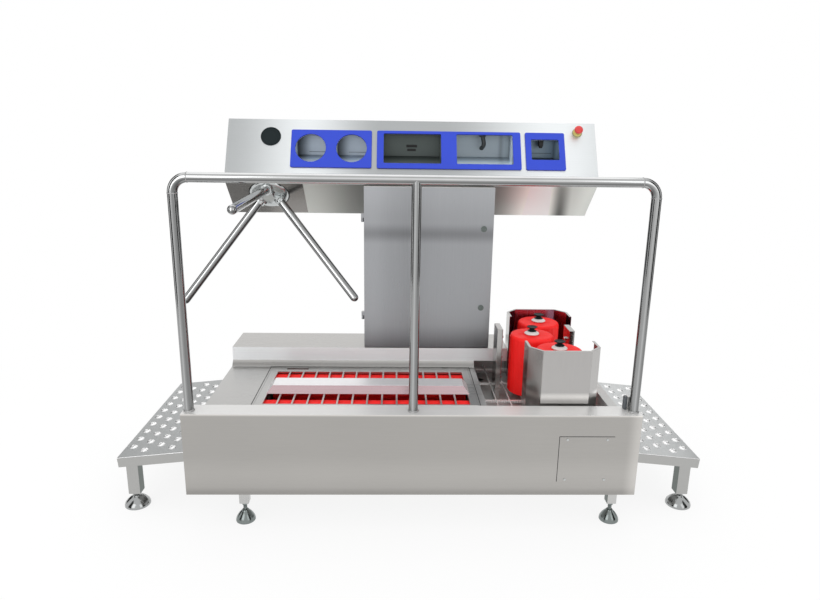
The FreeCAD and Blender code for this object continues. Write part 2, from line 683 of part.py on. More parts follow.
def sole_drive():
    """Bearings, chain and gearmotor of the lying brushes, and the tub's drain."""
    half = D.bearing_depth / 2
    floor = D.floor_gap + 2 * D.sheet
    pedestals = []
    for left in (D.bearing_left, D.bearing_right):
        for depth in (D.roller_front, D.roller_rear):
            name = f"pedestal_{len(pedestals)}"
            stand = block(name + "_block", (left, left + D.bearing_width), around(back(depth), half),
                          (floor, D.bearing_top))
            bore = rod(name + "_bore", D.roller_shaft + D.running_gap, D.bearing_width + 2,
                       (left - 1, back(depth), D.roller_height), RIGHT)
            pedestals.append(cut(name, stand, [bore]))
    subpart("roller_bearings", group("roller_bearings", pedestals))

    chain_x = (D.sprocket_left + 1, D.sprocket_left + D.sprocket_width - 1)
    loops = []
    for name, radius, grow in (("outer", D.sprocket_radius + D.chain_gap + D.chain_thickness, 0),
                               ("inner", D.sprocket_radius + D.chain_gap, 1)):
        ends = [rod(f"chain_{name}_{number}", radius, chain_x[1] - chain_x[0] + 2 * grow,
                    (chain_x[0] - grow, back(depth), D.roller_height), RIGHT)
                for number, depth in enumerate((D.roller_front, D.roller_rear))]
        middle = block(f"chain_{name}_middle", (chain_x[0] - grow, chain_x[1] + grow),
                       deep(D.roller_front, D.roller_rear),
                       (D.roller_height - radius, D.roller_height + radius))
        loops.append(fuse(f"chain_{name}", ends + [middle]))
    subpart("drive_chain", cut("drive_chain", loops[0], [loops[1]]))

    box_half = D.gearbox_depth / 2
    gearbox = block("gearbox", (D.gearbox_left, D.gearbox_right),
                    deep(D.roller_front - box_half, D.roller_front + box_half), (floor, D.gearbox_top))
    bore = rod("gearbox_bore", D.roller_shaft + D.running_gap,
               D.gearbox_right - D.gearbox_left - D.gearbox_cap,
               (D.gearbox_left + D.gearbox_cap + 1, back(D.roller_front), D.roller_height), RIGHT)
    subpart("roller_gearmotor", cut("roller_gearmotor", gearbox, [bore]))

    place = (D.spigot_left, back(D.spigot_depth))
    spigot = rod("spigot", D.spigot_radius, D.floor_gap + D.sheet - D.spigot_bottom,
                 place + (D.spigot_bottom,))
    hole = rod("spigot_hole", D.spigot_bore, D.floor_gap, place + (D.spigot_bottom - 1,))
    subpart("drain_outlet", cut("drain_outlet", spigot, [hole]))


# Pit of the upright brushes

def brush_places():
    """Name, X and depth of the three upright brushes."""
    return [("front", D.brush_front_left, D.brush_front_depth),
            ("middle", D.brush_middle_left, D.brush_middle_depth),
            ("rear", D.brush_rear_left, D.brush_rear_depth)]


def pit():
    """The tray under the upright brushes, the rods over it and the motors under it."""
    wall = D.sheet
    deck_under = D.deck_height - D.sheet
    tray = block("tray_outside", (D.pit_left - wall, D.pit_right + wall),
                 deep(D.strip_depth - wall, D.pit_back + wall), (D.pit_floor - wall, deck_under))
    lip_side = block("tray_lip_side", (D.pit_right, D.tub_half), deep(D.strip_depth, D.tub_depth),
                     (deck_under, D.deck_height))
    lip_back = block("tray_lip_back", (D.pit_left, D.tub_half), deep(D.pit_back, D.tub_depth),
                     (deck_under, D.deck_height))
    hollow = block("tray_hollow", (D.pit_left, D.pit_right), deep(D.strip_depth, D.pit_back),
                   (D.pit_floor, D.deck_height + 1))
    holes = [rod(f"tray_hole_{name}", D.shaft_hole, 3 * wall, (across, back(depth), D.pit_floor - 2 * wall))
             for name, across, depth in brush_places()]
    holes.append(rod("tray_drain", D.drain_hole, 3 * wall,
                     (D.drain_left, back(D.drain_depth), D.pit_floor - 2 * wall)))
    subpart("pit_tray", cut("pit_tray", fuse("tray_whole", [tray, lip_side, lip_back]), [hollow] + holes))

    rod_height = D.grate_top - D.rod_radius
    bars = [rod(f"grate_rod_{index}", D.rod_radius, D.pit_back - D.strip_depth,
                (D.rod_first + D.rod_pitch * index, back(D.strip_depth), rod_height), INWARD)
            for index in range(int(D.rod_count.value))]
    bar_depths = (D.brush_front_depth / 2, D.brush_front_depth + D.brush_radius,
                  D.brush_rear_depth - D.brush_radius - D.cross_bar_width,
                  D.brush_rear_depth + D.brush_radius - D.cross_bar_width)
    for index, depth in enumerate(bar_depths):
        bars.append(block(f"grate_bar_{index}", (D.pit_left, D.pit_right),
                          deep(depth, depth + D.cross_bar_width),
                          (rod_height - D.rod_radius - D.cross_bar_height, rod_height)))
    rings = []
    clear = []
    for name, across, depth in brush_places():
        here = (across, back(depth))
        rings.append(rod(f"grate_ring_{name}", D.ring_outer, 2 * D.rod_radius,
                         here + (D.grate_top - 2 * D.rod_radius,)))
        clear.append(rod(f"grate_clear_{name}", D.ring_bore, 8 * D.rod_radius,
                         here + (rod_height - 4 * D.rod_radius,)))
    subpart("pit_grate", cut("pit_grate", fuse("grate_whole", bars + rings), clear))

    motors = []
    for name, across, depth in brush_places():
        here = (across, back(depth))
        can = rod(f"motor_can_{name}", D.motor_radius, D.pit_floor - wall - D.motor_bottom,
                  here + (D.motor_bottom,))
        bore = rod(f"motor_bore_{name}", D.spindle_radius + D.running_gap, D.pit_floor - D.spindle_bottom,
                   here + (D.spindle_bottom - 1,))
        motors.append(cut(f"motor_{name}", can, [bore]))
    subpart("brush_motors", group("brush_motors", motors))


def upright_brushes():
    """The three upright brushes, and their spindles with a washer and a hand nut."""
    for name, across, depth in brush_places():
        here = (across, back(depth))
        body = document.addObject("PartDesign::Body", f"bristles_{name}")
        shape = outline(body, f"bristles_{name}_outline", "XZ_Plane", [
            (D.spindle_radius, 0), (D.brush_radius, 0), (D.brush_radius, D.brush_top - D.brush_bottom),
            (D.spindle_radius, D.brush_top - D.brush_bottom)])
        turn = body.newObject("PartDesign::Revolution", f"bristles_{name}_turn")
        turn.Profile = shape
        turn.ReferenceAxis = (shape, ["V_Axis"])
        turn.Angle = 360
        body.Tip = turn
        document.recompute()
        top = D.brush_top.value - D.brush_bottom.value
        rims = [f"Edge{number}" for number, edge in enumerate(turn.Shape.Edges, start=1)
                if edge.Curve.TypeId == "Part::GeomCircle" and edge.Curve.Radius > D.brush_radius.value - 1
                and abs(edge.Curve.Center.z - top) < 1]
        rounding = body.newObject("PartDesign::Fillet", f"bristles_{name}_rim")
        rounding.Base = (turn, rims)
        bind(rounding, "Radius", D.brush_edge)
        body.Tip = rounding
        subpart(f"side_brush_{name}", locate(body, here + (D.brush_bottom,)))

        spindle = rod(f"spindle_{name}", D.spindle_radius, D.spindle_top - D.spindle_bottom,
                      here + (D.spindle_bottom,))
        washer = rod(f"washer_{name}", D.washer_radius, D.washer_crown - D.brush_top, here + (D.brush_top,))
        crown = cone(f"crown_{name}", D.washer_radius, D.nut_radius, D.washer_top - D.washer_crown,
                     here + (D.washer_crown,))
        neck = cone(f"neck_{name}", D.nut_radius, D.nut_neck, D.nut_height / 3, here + (D.washer_top,))
        cup = cone(f"cup_{name}", D.nut_neck, D.nut_radius, 2 * D.nut_height / 3,
                   here + (D.washer_top + D.nut_height / 3,))
        subpart(f"side_spindle_{name}", fuse(f"side_spindle_{name}", [spindle, washer, crown, neck, cup]))


def guard(name, face, bevel_end, end):
    """A folded sheet with bevelled corners, a hem along its top and feet down to the pit's floor."""
    side = 1 if end.value > face.value else -1
    middle = D.guard_middle
    left, right = around(middle, D.guard_half)
    face_left, face_right = around(middle, D.guard_face_half)
    corners = [(left, end), (left, bevel_end), (face_left, face), (face_right, face), (right, bevel_end),
               (right, end)]
    points = [Vector(across.value, back(depth).value, 0) for across, depth in corners]
    path = Part.makePolygon(points)
    inward = Vector(middle.value, back((face + end) / 2).value, 0)

    def strip(width, low, high):
        """The part of the folded sheet within a width of its outline, between two heights."""
        options = [path.makeOffset2D(sign * width, 2, True, True) for sign in (-1, 1)]
        inner = min(options, key=lambda option: option.CenterOfMass.distanceToPoint(inward))
        inner.translate(Vector(0, 0, low))
        return inner.extrude(Vector(0, 0, high - low))

    sheet_width = D.guard_sheet.value
    low = D.grate_top.value
    high = D.guard_top.value
    shape = strip(sheet_width, low, high).fuse(strip(D.guard_hem.value, high - sheet_width, high))
    for gap in (D.guard_foot_gap, D.guard_foot_gap + 1):
        across = D.rod_first + D.rod_pitch * gap
        half = D.guard_foot_width.value / 2
        front = back(face).value if side > 0 else back(face).value - sheet_width
        shape = shape.fuse(Part.makeBox(2 * half, sheet_width, low - D.pit_floor.value,
                                        Vector(across.value - half, front, D.pit_floor.value)))
    item = document.addObject("Part::Feature", name)
    item.Shape = shape.removeSplitter()
    subpart(name, item)


def guards():
    """Both guards, and the two spray posts between them."""
    guard("front_guard", D.guard_front_face, D.guard_front_face + D.guard_bevel, D.guard_front_end)
    guard("rear_guard", D.guard_rear_face, D.guard_rear_face - D.guard_bevel, D.guard_rear_end)
    posts = []
    for name, left, front in (("left", D.post_left, D.post_left_front),
                              ("right", D.post_right, D.post_right_front)):
        post = block(f"post_{name}", (left, left + D.post_width), deep(front, front + D.post_depth),
                     (D.pit_floor, D.guard_top))
        posts.append(post)
    subpart("spray_posts", group("spray_posts", posts))


# Approach steps

def steps():
    """Both approach steps: a tread on a slanting tray with two outer legs, hooked on the tub."""
    slope = math.degrees(math.atan(D.step_rise.value))
    run = (D.step_outer - D.step_inner) * math.sqrt(1 + D.step_rise.value ** 2)
    lean = math.cos(math.radians(slope))
    for name, side in (("left", -1), ("right", 1)):
        turn = Rotation(INWARD, side * slope)
        outer_x = side * D.step_outer

        def slanted(label, inset, low, high):
            """A box that leans with the step, between two distances under its surface."""
            length = run - 2 * inset
            start = Vector(0 if side < 0 else -length.value, 0, 0)
            shift = turn.multVec(start + Vector(-side * inset.value, 0, low.value - high.value))
            item = document.addObject("Part::Box", label)
            bind(item, "Length", length)
            bind(item, "Width", D.step_back - D.step_front - 2 * inset)
            bind(item, "Height", high - low)
            return locate(item, (outer_x + shift.x, back(D.step_front + inset),
                                 D.step_edge_height + shift.z - low / lean), turn)

        zero = Size.of(0)
        tread = slanted(f"tread_{name}", zero, zero, D.tread_sheet)
        subpart(f"tread_{name}", tread)
        under = D.tread_sheet
        tray = slanted(f"step_outside_{name}", zero, under, D.apron_height)
        hollow = slanted(f"step_hollow_{name}", D.sheet, under + D.cover_sheet, D.apron_height + 10)
        apron = cut(f"step_apron_{name}", tray, [hollow])
        half = D.step_leg_side / 2
        pieces = [apron]
        middle = side * D.step_leg_middle
        top = (D.step_edge_height + (D.step_outer - D.step_leg_middle - half) * D.step_rise
               - D.tread_sheet - 1)
        for depth in (D.step_leg_front, D.step_leg_back):
            pieces.append(block(f"step_leg_{name}_{len(pieces)}", around(middle, half),
                                around(back(depth), half), (D.step_leg_bottom, top)))
        for depth in (D.hook_front, D.hook_back - D.hook_width):
            reach = (side * D.tub_half, side * (D.step_inner + D.sheet))
            height = D.step_edge_height + (D.step_outer - D.step_inner) * D.step_rise - D.hook_gap
            pieces.append(block(f"step_hook_{name}_{len(pieces)}", reach[::side],
                                deep(depth, depth + D.hook_width), (height - D.hook_height, height)))
        subpart(f"step_frame_{name}", fuse(f"step_frame_{name}", pieces))


# Cabinet

def cabinet_outline():
    """Depth and height of the cabinet's corners, which meet the console's underside."""
    drop = (D.nose_height - D.console_low_height) / (D.console_low_depth - D.nose_depth)
    shoulder = D.nose_depth + (D.nose_height - D.cabinet_top) / drop
    return [(D.cabinet_front, D.plinth_height), (D.cabinet_front, D.cabinet_top), (shoulder, D.cabinet_top),
            (D.console_low_depth, D.console_low_height), (D.console_low_depth, D.plinth_height)]


def fixed_hinges():
    """The lower knuckles of the door's hinges, with their pins, welded to the cabinet's side."""
    half = D.hinge_height / 2
    line = (D.hinge_left, back(D.cabinet_front))
    hinges = []
    for number, up in enumerate((D.hinge_low, D.hinge_high)):
        hinges.append(rod(f"fixed_knuckle_{number}", D.knuckle_radius, half, line + (up,)))
        hinges.append(block(f"fixed_leaf_{number}", (D.hinge_left, D.cabinet_left),
                            deep(D.cabinet_front, D.cabinet_front + D.hinge_leaf), (up, up + half)))
        hinges.append(rod(f"fixed_pin_{number}", D.knuckle_pin, D.hinge_height, line + (up,)))
    return hinges


def cabinet():
    """The cabinet with its control plate and its soap tank."""
    skin = D.cabinet_sheet
    outer = along_x("cabinet_outer", cabinet_outline(), D.cabinet_left, D.cabinet_right)
    inner = along_x("cabinet_inner", drawn_in(cabinet_outline(), skin), D.cabinet_left + skin,
                    D.cabinet_right - skin)
    opening = block("cabinet_opening",
                    (D.cabinet_left + D.cabinet_flange, D.cabinet_right - D.cabinet_flange),
                    deep(D.cabinet_front - 1, D.cabinet_front + 2 * skin),
                    (D.plinth_height + D.cabinet_flange, D.cabinet_top - D.cabinet_flange))
    shell = cut("cabinet_shell", outer, [inner, opening])
    subpart("cabinet_body", fuse("cabinet_body", [shell] + fixed_hinges()))

    plate_face = back(D.plate_setback)
    wall = back(D.console_low_depth - skin)
    pieces = [block("plate_sheet", (D.plate_left, D.plate_right), (plate_face, plate_face + skin),
                    (D.plate_bottom, D.plate_top))]
    for across in (D.plate_left, D.plate_right - D.plate_rail):
        pieces.append(block(f"plate_rail_{len(pieces)}", (across, across + D.plate_rail), (plate_face, wall),
                            (D.plate_bottom, D.plate_top)))
    for index in range(int(D.gear_count.value)):
        left = D.gear_left + D.gear_pitch * index
        pieces.append(block(f"gear_{index}", (left, left + D.gear_width),
                            (plate_face - D.gear_depth, plate_face),
                            (D.gear_bottom, D.gear_bottom + D.gear_height)))
    for index in range(int(D.drive_count.value)):
        left = D.drive_left + D.drive_pitch * index
        pieces.append(block(f"drive_{index}", (left, left + D.drive_width),
                            (plate_face - D.drive_depth, plate_face),
                            (D.drive_bottom, D.drive_bottom + D.drive_height)))
    subpart("control_plate", fuse("control_plate", pieces))

    floor = D.plinth_height + skin
    tank = block("tank_outside", (D.tank_left, D.tank_right), deep(D.tank_front, D.tank_back),
                 (floor, floor + D.tank_height))
    middle = ((D.tank_left + D.tank_right) / 2, back((D.tank_front + D.tank_back) / 2))
    cap = rod("tank_cap", D.tank_cap, D.tank_cap_height, middle + (floor + D.tank_height,))
    hollow = block("tank_hollow", (D.tank_left + D.tank_wall, D.tank_right - D.tank_wall),
                   deep(D.tank_front + D.tank_wall, D.tank_back - D.tank_wall),
                   (floor + D.tank_wall, floor + D.tank_height - D.tank_wall))
    filler = rod("tank_filler", D.tank_cap - D.tank_wall, D.tank_height,
                 middle + (floor + D.tank_height / 2,))
    subpart("soap_tank", cut("soap_tank", fuse("tank_whole", [tank, cap]), [hollow, filler]))


def cabinet_door():
    """The door tray with its upper hinge knuckles, and its two quarter-turn locks."""
    skin = D.door_sheet
    rear = D.cabinet_front - D.door_gap
    low = D.plinth_height + D.door_gap
    outer = block("door_outer", (D.cabinet_left, D.cabinet_right), deep(D.door_front, rear),
                  (low, D.cabinet_top))
    inner = block("door_inner", (D.cabinet_left + skin, D.cabinet_right - skin),
                  deep(D.door_front + skin, rear + 1), (low + skin, D.cabinet_top - skin))
    lock_holes = [rod(f"door_lock_hole_{number}", D.lock_shaft + D.running_gap, 3 * skin,
                      (D.lock_left, back(D.door_front - skin), up), INWARD)
                  for number, up in enumerate((D.lock_low, D.lock_high))]
    tray = cut("door_tray", outer, [inner] + lock_holes)
    pieces = [tray]
    half = D.hinge_height / 2
    line = (D.hinge_left, back(D.cabinet_front))
    for number, up in enumerate((D.hinge_low, D.hinge_high)):
        upper = up + half + D.door_gap / 4
        barrel = rod(f"door_knuckle_{number}", D.knuckle_radius, half - D.door_gap / 4, line + (upper,))
        leaf = block(f"door_leaf_{number}", (D.hinge_left, D.cabinet_left),
                     deep(D.cabinet_front - D.hinge_leaf, rear), (upper, up + D.hinge_height))
        web = block(f"door_web_{number}",
                    (D.hinge_left - D.knuckle_radius, D.hinge_left + D.knuckle_radius / 2),
                    deep(D.cabinet_front - D.hinge_leaf, D.cabinet_front), (upper, up + D.hinge_height))
        hole = rod(f"door_pin_hole_{number}", D.knuckle_pin + D.running_gap, D.hinge_height, line + (up,))
        whole = fuse(f"door_hinge_whole_{number}", [barrel, leaf, web])
        pieces.append(cut(f"door_hinge_{number}", whole, [hole]))
    subpart("cabinet_door", fuse("cabinet_door", pieces))

    for name, up in (("lower", D.lock_low), ("upper", D.lock_high)):
        outside = D.door_front - D.lock_head_height
        head = rod(f"lock_head_{name}", D.lock_head, D.lock_head_height - D.lock_gap,
                   (D.lock_left, back(outside), up), INWARD)
        shaft = rod(f"lock_shaft_{name}", D.lock_shaft, D.lock_reach - outside,
                    (D.lock_left, back(outside), up), INWARD)
        cam = block(f"lock_cam_{name}",
                    (D.lock_left - D.cam_width / 2, D.lock_left + D.cam_length - D.cam_width),
                    deep(D.lock_reach - D.cam_thickness, D.lock_reach), around(up, D.cam_width / 2))
        slot = block(f"lock_slot_{name}", around(D.lock_left, D.lock_slot_half),
                     deep(outside - 1, outside + D.lock_slot_depth), around(up, D.lock_slot_width / 2))
        whole = fuse(f"lock_{name}", [head, shaft, cam])
        subpart(f"door_lock_{name}", cut(f"door_lock_{name}", whole, [slot]))


# Console

def console_outline():
    """Depth and height of the console's corners."""
    return [(D.nose_depth, D.nose_height), (D.crest_depth, D.crest_height),
            (D.console_back_depth, D.crest_height), (D.console_back_depth, D.console_low_height),
            (D.console_low_depth, D.console_low_height)]


def console():
    """The console's shell with its windows and holes, and its rear cover."""
    half = D.console_half
    skin = D.console_sheet
    outer = along_x("console_outer", console_outline(), -half, half)
    inner = along_x("console_inner", drawn_in(console_outline(), skin), skin - half, half - skin)
    through = (-3 * skin, 2 * skin)
    tools = [inner]
    for name, across, rise in (("dryer", (D.dryer_left, D.dryer_right), (D.window_low, D.window_high)),
                               ("basin", (D.basin_left, D.basin_right), (D.window_low, D.window_high)),
                               ("soap", (D.soap_left, D.soap_right), (D.soap_low, D.soap_high))):
        tools.append(face_block(f"console_window_{name}", across, rise, through))
    for name, across in (("left", D.hand_hole_left), ("right", D.hand_hole_right)):
        tools.append(face_rod(f"console_hole_{name}", D.hand_hole, across, D.hand_hole_rise, through))
    tools.append(block("console_back_opening", (D.back_flange - half, half - D.back_flange),
                       deep(D.console_back_depth - 2 * skin, D.console_back_depth + 1),
                       (D.console_low_height + D.back_flange, D.crest_height - D.back_flange)))
    tools.append(rotor_rod("console_hub_hole", D.hub_opening, -D.hub_back, D.hub_face))
    tools.append(face_rod("console_stop_hole", D.stop_stem + D.running_gap, D.stop_left, D.stop_rise,
                          through))
    subpart("console_shell", cut("console_shell", outer, tools))
    lap = D.back_flange - D.back_lap
    subpart("console_back", block("console_back", (lap - half, half - lap),
                                  deep(D.console_back_depth, D.console_back_depth + D.access_sheet),
                                  (D.console_low_height + lap, D.crest_height - lap)))


def niche(name, across, rise):
    """A folded sheet niche behind a window, with a floor that drains to a gutter at its front."""
    walls = []
    for grow in (D.niche_wall.value, 0):
        low = FACE.multVec(Vector(0, rise[0].value - grow, -D.console_sheet.value + (0 if grow else 1)))
        high = FACE.multVec(Vector(0, rise[1].value + grow, -D.console_sheet.value + (0 if grow else 1)))
        top = D.nose_height + high.z
        front = D.nose_depth + low.y
        floor = D.niche_drop - grow
        lead = D.niche_margin - grow
        points = [(front, D.nose_height + low.z), (front + lead, floor),
                  (front + lead + D.niche_gutter, floor), (D.niche_back + grow, D.niche_step - grow),
                  (D.niche_back + grow, top), (D.nose_depth + high.y, top)]
        skin = "outer" if grow else "inner"
        walls.append(along_x(f"{name}_{skin}", points, across[0] - grow, across[1] + grow))
    return cut(name, walls[0], [walls[1]])


def console_fittings():
    """The blue frames, the niches behind their openings, and what is set on the face."""
    rise = (D.bezel_low, D.bezel_high)
    window = (D.window_low, D.window_high)
    solid = (0, D.bezel_thickness)
    through = (-1, D.bezel_thickness + 1)
    left = face_plate("bezel_one", (D.bezel_one_left, D.bezel_one_right), rise, solid, D.bezel_corner)
    holes = [face_rod(f"bezel_hole_{number}", D.hand_hole, across, D.hand_hole_rise, through)
             for number, across in enumerate((D.hand_hole_left, D.hand_hole_right))]
    subpart("bezel_left", cut("bezel_left", left, holes))
    middle = face_plate("bezel_two", (D.bezel_two_left, D.bezel_two_right), rise, solid, D.bezel_corner)
    openings = [face_plate("bezel_dryer", (D.dryer_left, D.dryer_right), window, through, D.window_corner),
                face_plate("bezel_basin", (D.basin_left, D.basin_right), window, through, D.window_corner)]
    subpart("bezel_middle", cut("bezel_middle", middle, openings))
    right = face_plate("bezel_three", (D.bezel_three_left, D.bezel_three_right), rise, solid,
                       D.bezel_corner)
    small = face_plate("bezel_soap", (D.soap_left, D.soap_right), (D.soap_low, D.soap_high), through,
                       D.window_corner)
    subpart("bezel_right", cut("bezel_right", right, [small]))

    hand_rise = around(D.hand_hole_rise, D.hand_hole)
    chambers = [niche(f"hand_chamber_{number}", around(across, D.hand_hole + 2), hand_rise)
                for number, across in enumerate((D.hand_hole_left, D.hand_hole_right))]
    subpart("hand_chambers", group("hand_chambers", chambers))
    subpart("dryer_chamber", niche("dryer_chamber", (D.dryer_left, D.dryer_right), window))
    subpart("wash_basin", niche("wash_basin", (D.basin_left, D.basin_right), window))
    subpart("soap_chamber", niche("soap_chamber", (D.soap_left, D.soap_right), (D.soap_low, D.soap_high)))
    subpart("reader_disc", face_rod("reader_disc", D.reader_radius, D.reader_left, D.reader_rise,
                                    (0, D.reader_thickness)))
    water_outlets()
    emergency_stop()


def niche_top(rise):
    """Height of a niche's ceiling."""
    return D.nose_height + FACE.multVec(Vector(0, rise.value, 1 - D.console_sheet.value)).z


SPOUT_WAY = Vector(0, -0.8, -0.6)


def water_outlets():
    """The hooked spout of the basin, the dryer's vent on its back wall and the soap nozzle."""
    top = niche_top(D.window_high)
    rise = D.spout_drop
    drop = rod("spout_drop", D.spout_radius, rise, (D.spout_left, back(D.spout_front), top - rise))
    knee = document.addObject("Part::Sphere", "spout_knee")
    bind(knee, "Radius", D.spout_radius)
    locate(knee, (D.spout_left, back(D.spout_front), top - rise))
    lip = rod("spout_lip", D.spout_radius, D.spout_lip, (D.spout_left, back(D.spout_front), top - rise),
              SPOUT_WAY)
    outlets = [fuse("spout", [drop, knee, lip])]
    middle = (D.dryer_left + D.dryer_right) / 2
    outlets.append(block("dryer_vent", around(middle, D.vent_width / 2),
                         deep(D.niche_back - D.vent_depth, D.niche_back), (D.vent_low, D.vent_high)))
    soap_top = niche_top(D.soap_high)
    small = D.soap_nozzle_width / 2
    outlets.append(block("soap_nozzle", around(D.soap_nozzle_left, small),
                         deep(D.soap_nozzle_setback, D.soap_nozzle_setback + D.soap_nozzle_depth),
                         (soap_top - D.soap_nozzle_height, soap_top)))
    subpart("water_outlets", group("water_outlets", outlets))


def emergency_stop():
    """The fixed collar of the emergency stop, and the mushroom head that is pushed."""
    here = (D.stop_left, D.stop_rise)
    base = face_rod("stop_base", D.stop_base, *here, (0, D.stop_collar_top / 3))
    collar = face_rod("stop_ring", D.stop_collar, *here, (D.stop_collar_top / 3, D.stop_collar_top))
    bore = face_rod("stop_bore", D.stop_stem + D.running_gap, *here, (-1, D.stop_collar_top + 1))
    subpart("stop_collar", cut("stop_collar", fuse("stop_fixed", [base, collar]), [bore]))
    stem = face_rod("stop_stem", D.stop_stem, *here, (D.stop_socket, D.stop_head_bottom))
    head = face_rod("stop_mushroom", D.stop_head, *here, (D.stop_head_bottom, D.stop_head_top))
    whole = fuse("stop_moving", [stem, head])
    document.recompute()
    tip = Vector(*[Size.of(value).value for value in beside_nose(FACE, *here, D.stop_head_top)])
    rounding = D.stop_rounding.value
    rims = [(number, rounding, rounding) for number, edge in enumerate(whole.Shape.Edges, start=1)
            if edge.Curve.TypeId == "Part::GeomCircle" and edge.Curve.Center.distanceToPoint(tip) < 0.5]
    rounded = document.addObject("Part::Fillet", "stop_head")
    rounded.Base = whole
    rounded.Edges = rims
    subpart("stop_head", rounded)


# Turnstile

AXIS = UNDER.multVec(Vector(0, 0, -1))
APEX = (D.rotor_left, back(D.apex_depth), D.apex_height)


def on_axis(distance):
    """A point on the rotor's axis, at a distance outwards from where the arms meet."""
    run = Size.of(distance)
    return (APEX[0], APEX[1] + AXIS.y * run, APEX[2] + AXIS.z * run)


def rotor_rod(name, radius, low, high):
    """A cylinder round the rotor's axis, between two distances along it."""
    return rod(name, radius, Size.of(high) - low, on_axis(low), AXIS)


def arm_direction(index):
    """The way that an arm points, from where the arms meet."""
    sideways = RIGHT
    forward = AXIS.cross(sideways)
    turn = math.radians(D.arm_phase.value + 90 + 120 * index)
    tilt = math.radians(D.cone_angle.value)
    across = sideways * math.cos(turn) + forward * math.sin(turn)
    return AXIS * math.cos(tilt) + across * math.sin(tilt)


def arm_rod(name, radius, index, low, high):
    """A cylinder round one arm's own line."""
    way = arm_direction(index)
    run = Size.of(low)
    start = tuple(base + part * run for base, part in zip(APEX, (way.x, way.y, way.z)))
    return rod(name, radius, Size.of(high) - low, start, way)


def turnstile():
    """The rotor with its three arms, the housing over it and the plate round it."""
    arms = []
    sockets = []
    collars = []
    for index in range(3):
        straight_end = D.arm_length - D.arm_radius
        tube = arm_rod(f"arm_tube_{index}", D.arm_radius, index, D.arm_start, straight_end)
        tip = document.addObject("Part::Sphere", f"arm_tip_{index}")
        bind(tip, "Radius", D.arm_radius)
        way = arm_direction(index)
        locate(tip, tuple(base + part * straight_end for base, part in zip(APEX, (way.x, way.y, way.z))),
               Rotation(UP, way))
        bore = arm_rod(f"arm_bore_{index}", D.arm_bore, index, D.arm_start - 1, straight_end)
        arms.append(cut(f"arm_{index}", fuse(f"arm_whole_{index}", [tube, tip]), [bore]))
        sockets.append(arm_rod(f"arm_socket_{index}", D.arm_radius, index, D.arm_start,
                               D.collar_length + D.arm_start))
        collars.append(arm_rod(f"arm_collar_{index}", D.collar_radius, index, D.collar_start,
                               D.collar_length))
    subpart("turnstile_arms", group("turnstile_arms", arms))
    disc = rotor_rod("hub_disc", D.hub_radius, -D.hub_back, D.hub_face)
    axle = rotor_rod("hub_axle", D.axle_radius, -D.axle_length, -D.hub_back + 1)
    subpart("turnstile_hub", cut("turnstile_hub", fuse("hub_whole", [disc, axle] + collars), sockets))

    barrel = rotor_rod("housing_barrel", D.housing_radius, -D.housing_start - D.housing_length,
                       -D.yoke_start - 1)
    yoke = document.addObject("Part::Box", "housing_yoke")
    bind(yoke, "Length", 2 * D.yoke_half_width)
    bind(yoke, "Width", 2 * D.yoke_half_depth)
    bind(yoke, "Height", D.housing_start - D.yoke_start)
    corner = UNDER.multVec(Vector(0, -D.yoke_half_depth.value, D.yoke_start.value))
    locate(yoke, (APEX[0] - D.yoke_half_width, APEX[1] + corner.y, APEX[2] + corner.z), UNDER)
    surface = AXIS * (Vector(0, back(D.nose_depth).value, D.nose_height.value)
                      - Vector(0, APEX[1].value, APEX[2].value))
    inner_face = surface - D.console_sheet.value
    stands = []
    for side in (-1, 1):
        for lift in (-1, 1):
            shift = UNDER.multVec(Vector(0, lift * D.standoff_half_depth.value, D.yoke_start.value + 1))
            start = (APEX[0] + side * D.standoff_half_width, APEX[1] + shift.y, APEX[2] + shift.z)
            stands.append(rod(f"standoff_{len(stands)}", D.standoff_radius, D.yoke_start + 1 + inner_face,
                              start, AXIS))
    bore = rotor_rod("housing_bore", D.axle_radius + D.running_gap, -D.axle_length - 1, 0)
    whole = fuse("housing_whole", [barrel, yoke] + stands)
    subpart("turnstile_housing", cut("turnstile_housing", whole, [bore]))

    cover = document.addObject("Part::Box", "cover_sheet_metal")
    bind(cover, "Length", D.cover_right - D.cover_left)
    bind(cover, "Width", D.cover_high - D.cover_low)
    bind(cover, "Height", D.console_sheet)
    locate(cover, beside_nose(UNDER, D.cover_left, D.cover_low, -D.console_sheet), UNDER)
    hole = rotor_rod("cover_hole", D.hub_opening, 0, 2 * D.hub_face)
    subpart("turnstile_cover", cut("turnstile_cover", cover, [hole]))


front_wall()
service_cover()
handrail()
tub()
feet()
deck()
rear_plinth()
grating()
sole_brushes()
sole_drive()
pit()
upright_brushes()
guards()
steps()
cabinet()
cabinet_door()
console()
console_fittings()
turnstile()
document.recompute()

faulty = [item.Label for item in document.Objects if "Invalid" in item.State or "Error" in item.State]
if faulty:
    raise RuntimeError(f"failed objects: {faulty}")
os.makedirs("parts", exist_ok=True)
for item in subparts:
    shape = item.Shape
    if shape.isNull() or not shape.isValid() or not shape.Solids:
        raise RuntimeError(f"{item.Label} has no valid solid")
    shape.exportStep(f"parts/{item.Label}.step")
    box = shape.BoundBox
    reach = ", ".join(f"{low:.1f} {high:.1f}" for low, high in (
        (box.XMin, box.XMax), (box.YMin, box.YMax), (box.ZMin, box.ZMax)))
    print(f"{item.Label}: {len(shape.Solids)} solids, {shape.Volume / 1000:.1f} cm3, x y z {reach}")
print(f"{len(subparts)} nodes")
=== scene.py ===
"""Looks of the boot washer, in metres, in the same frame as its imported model."""
import json
import logging
import math
import random
from contextlib import contextmanager
from dataclasses import dataclass, field
from enum import Enum
from typing import Iterator, Sequence

import bpy
from mathutils import Matrix, Quaternion, Vector


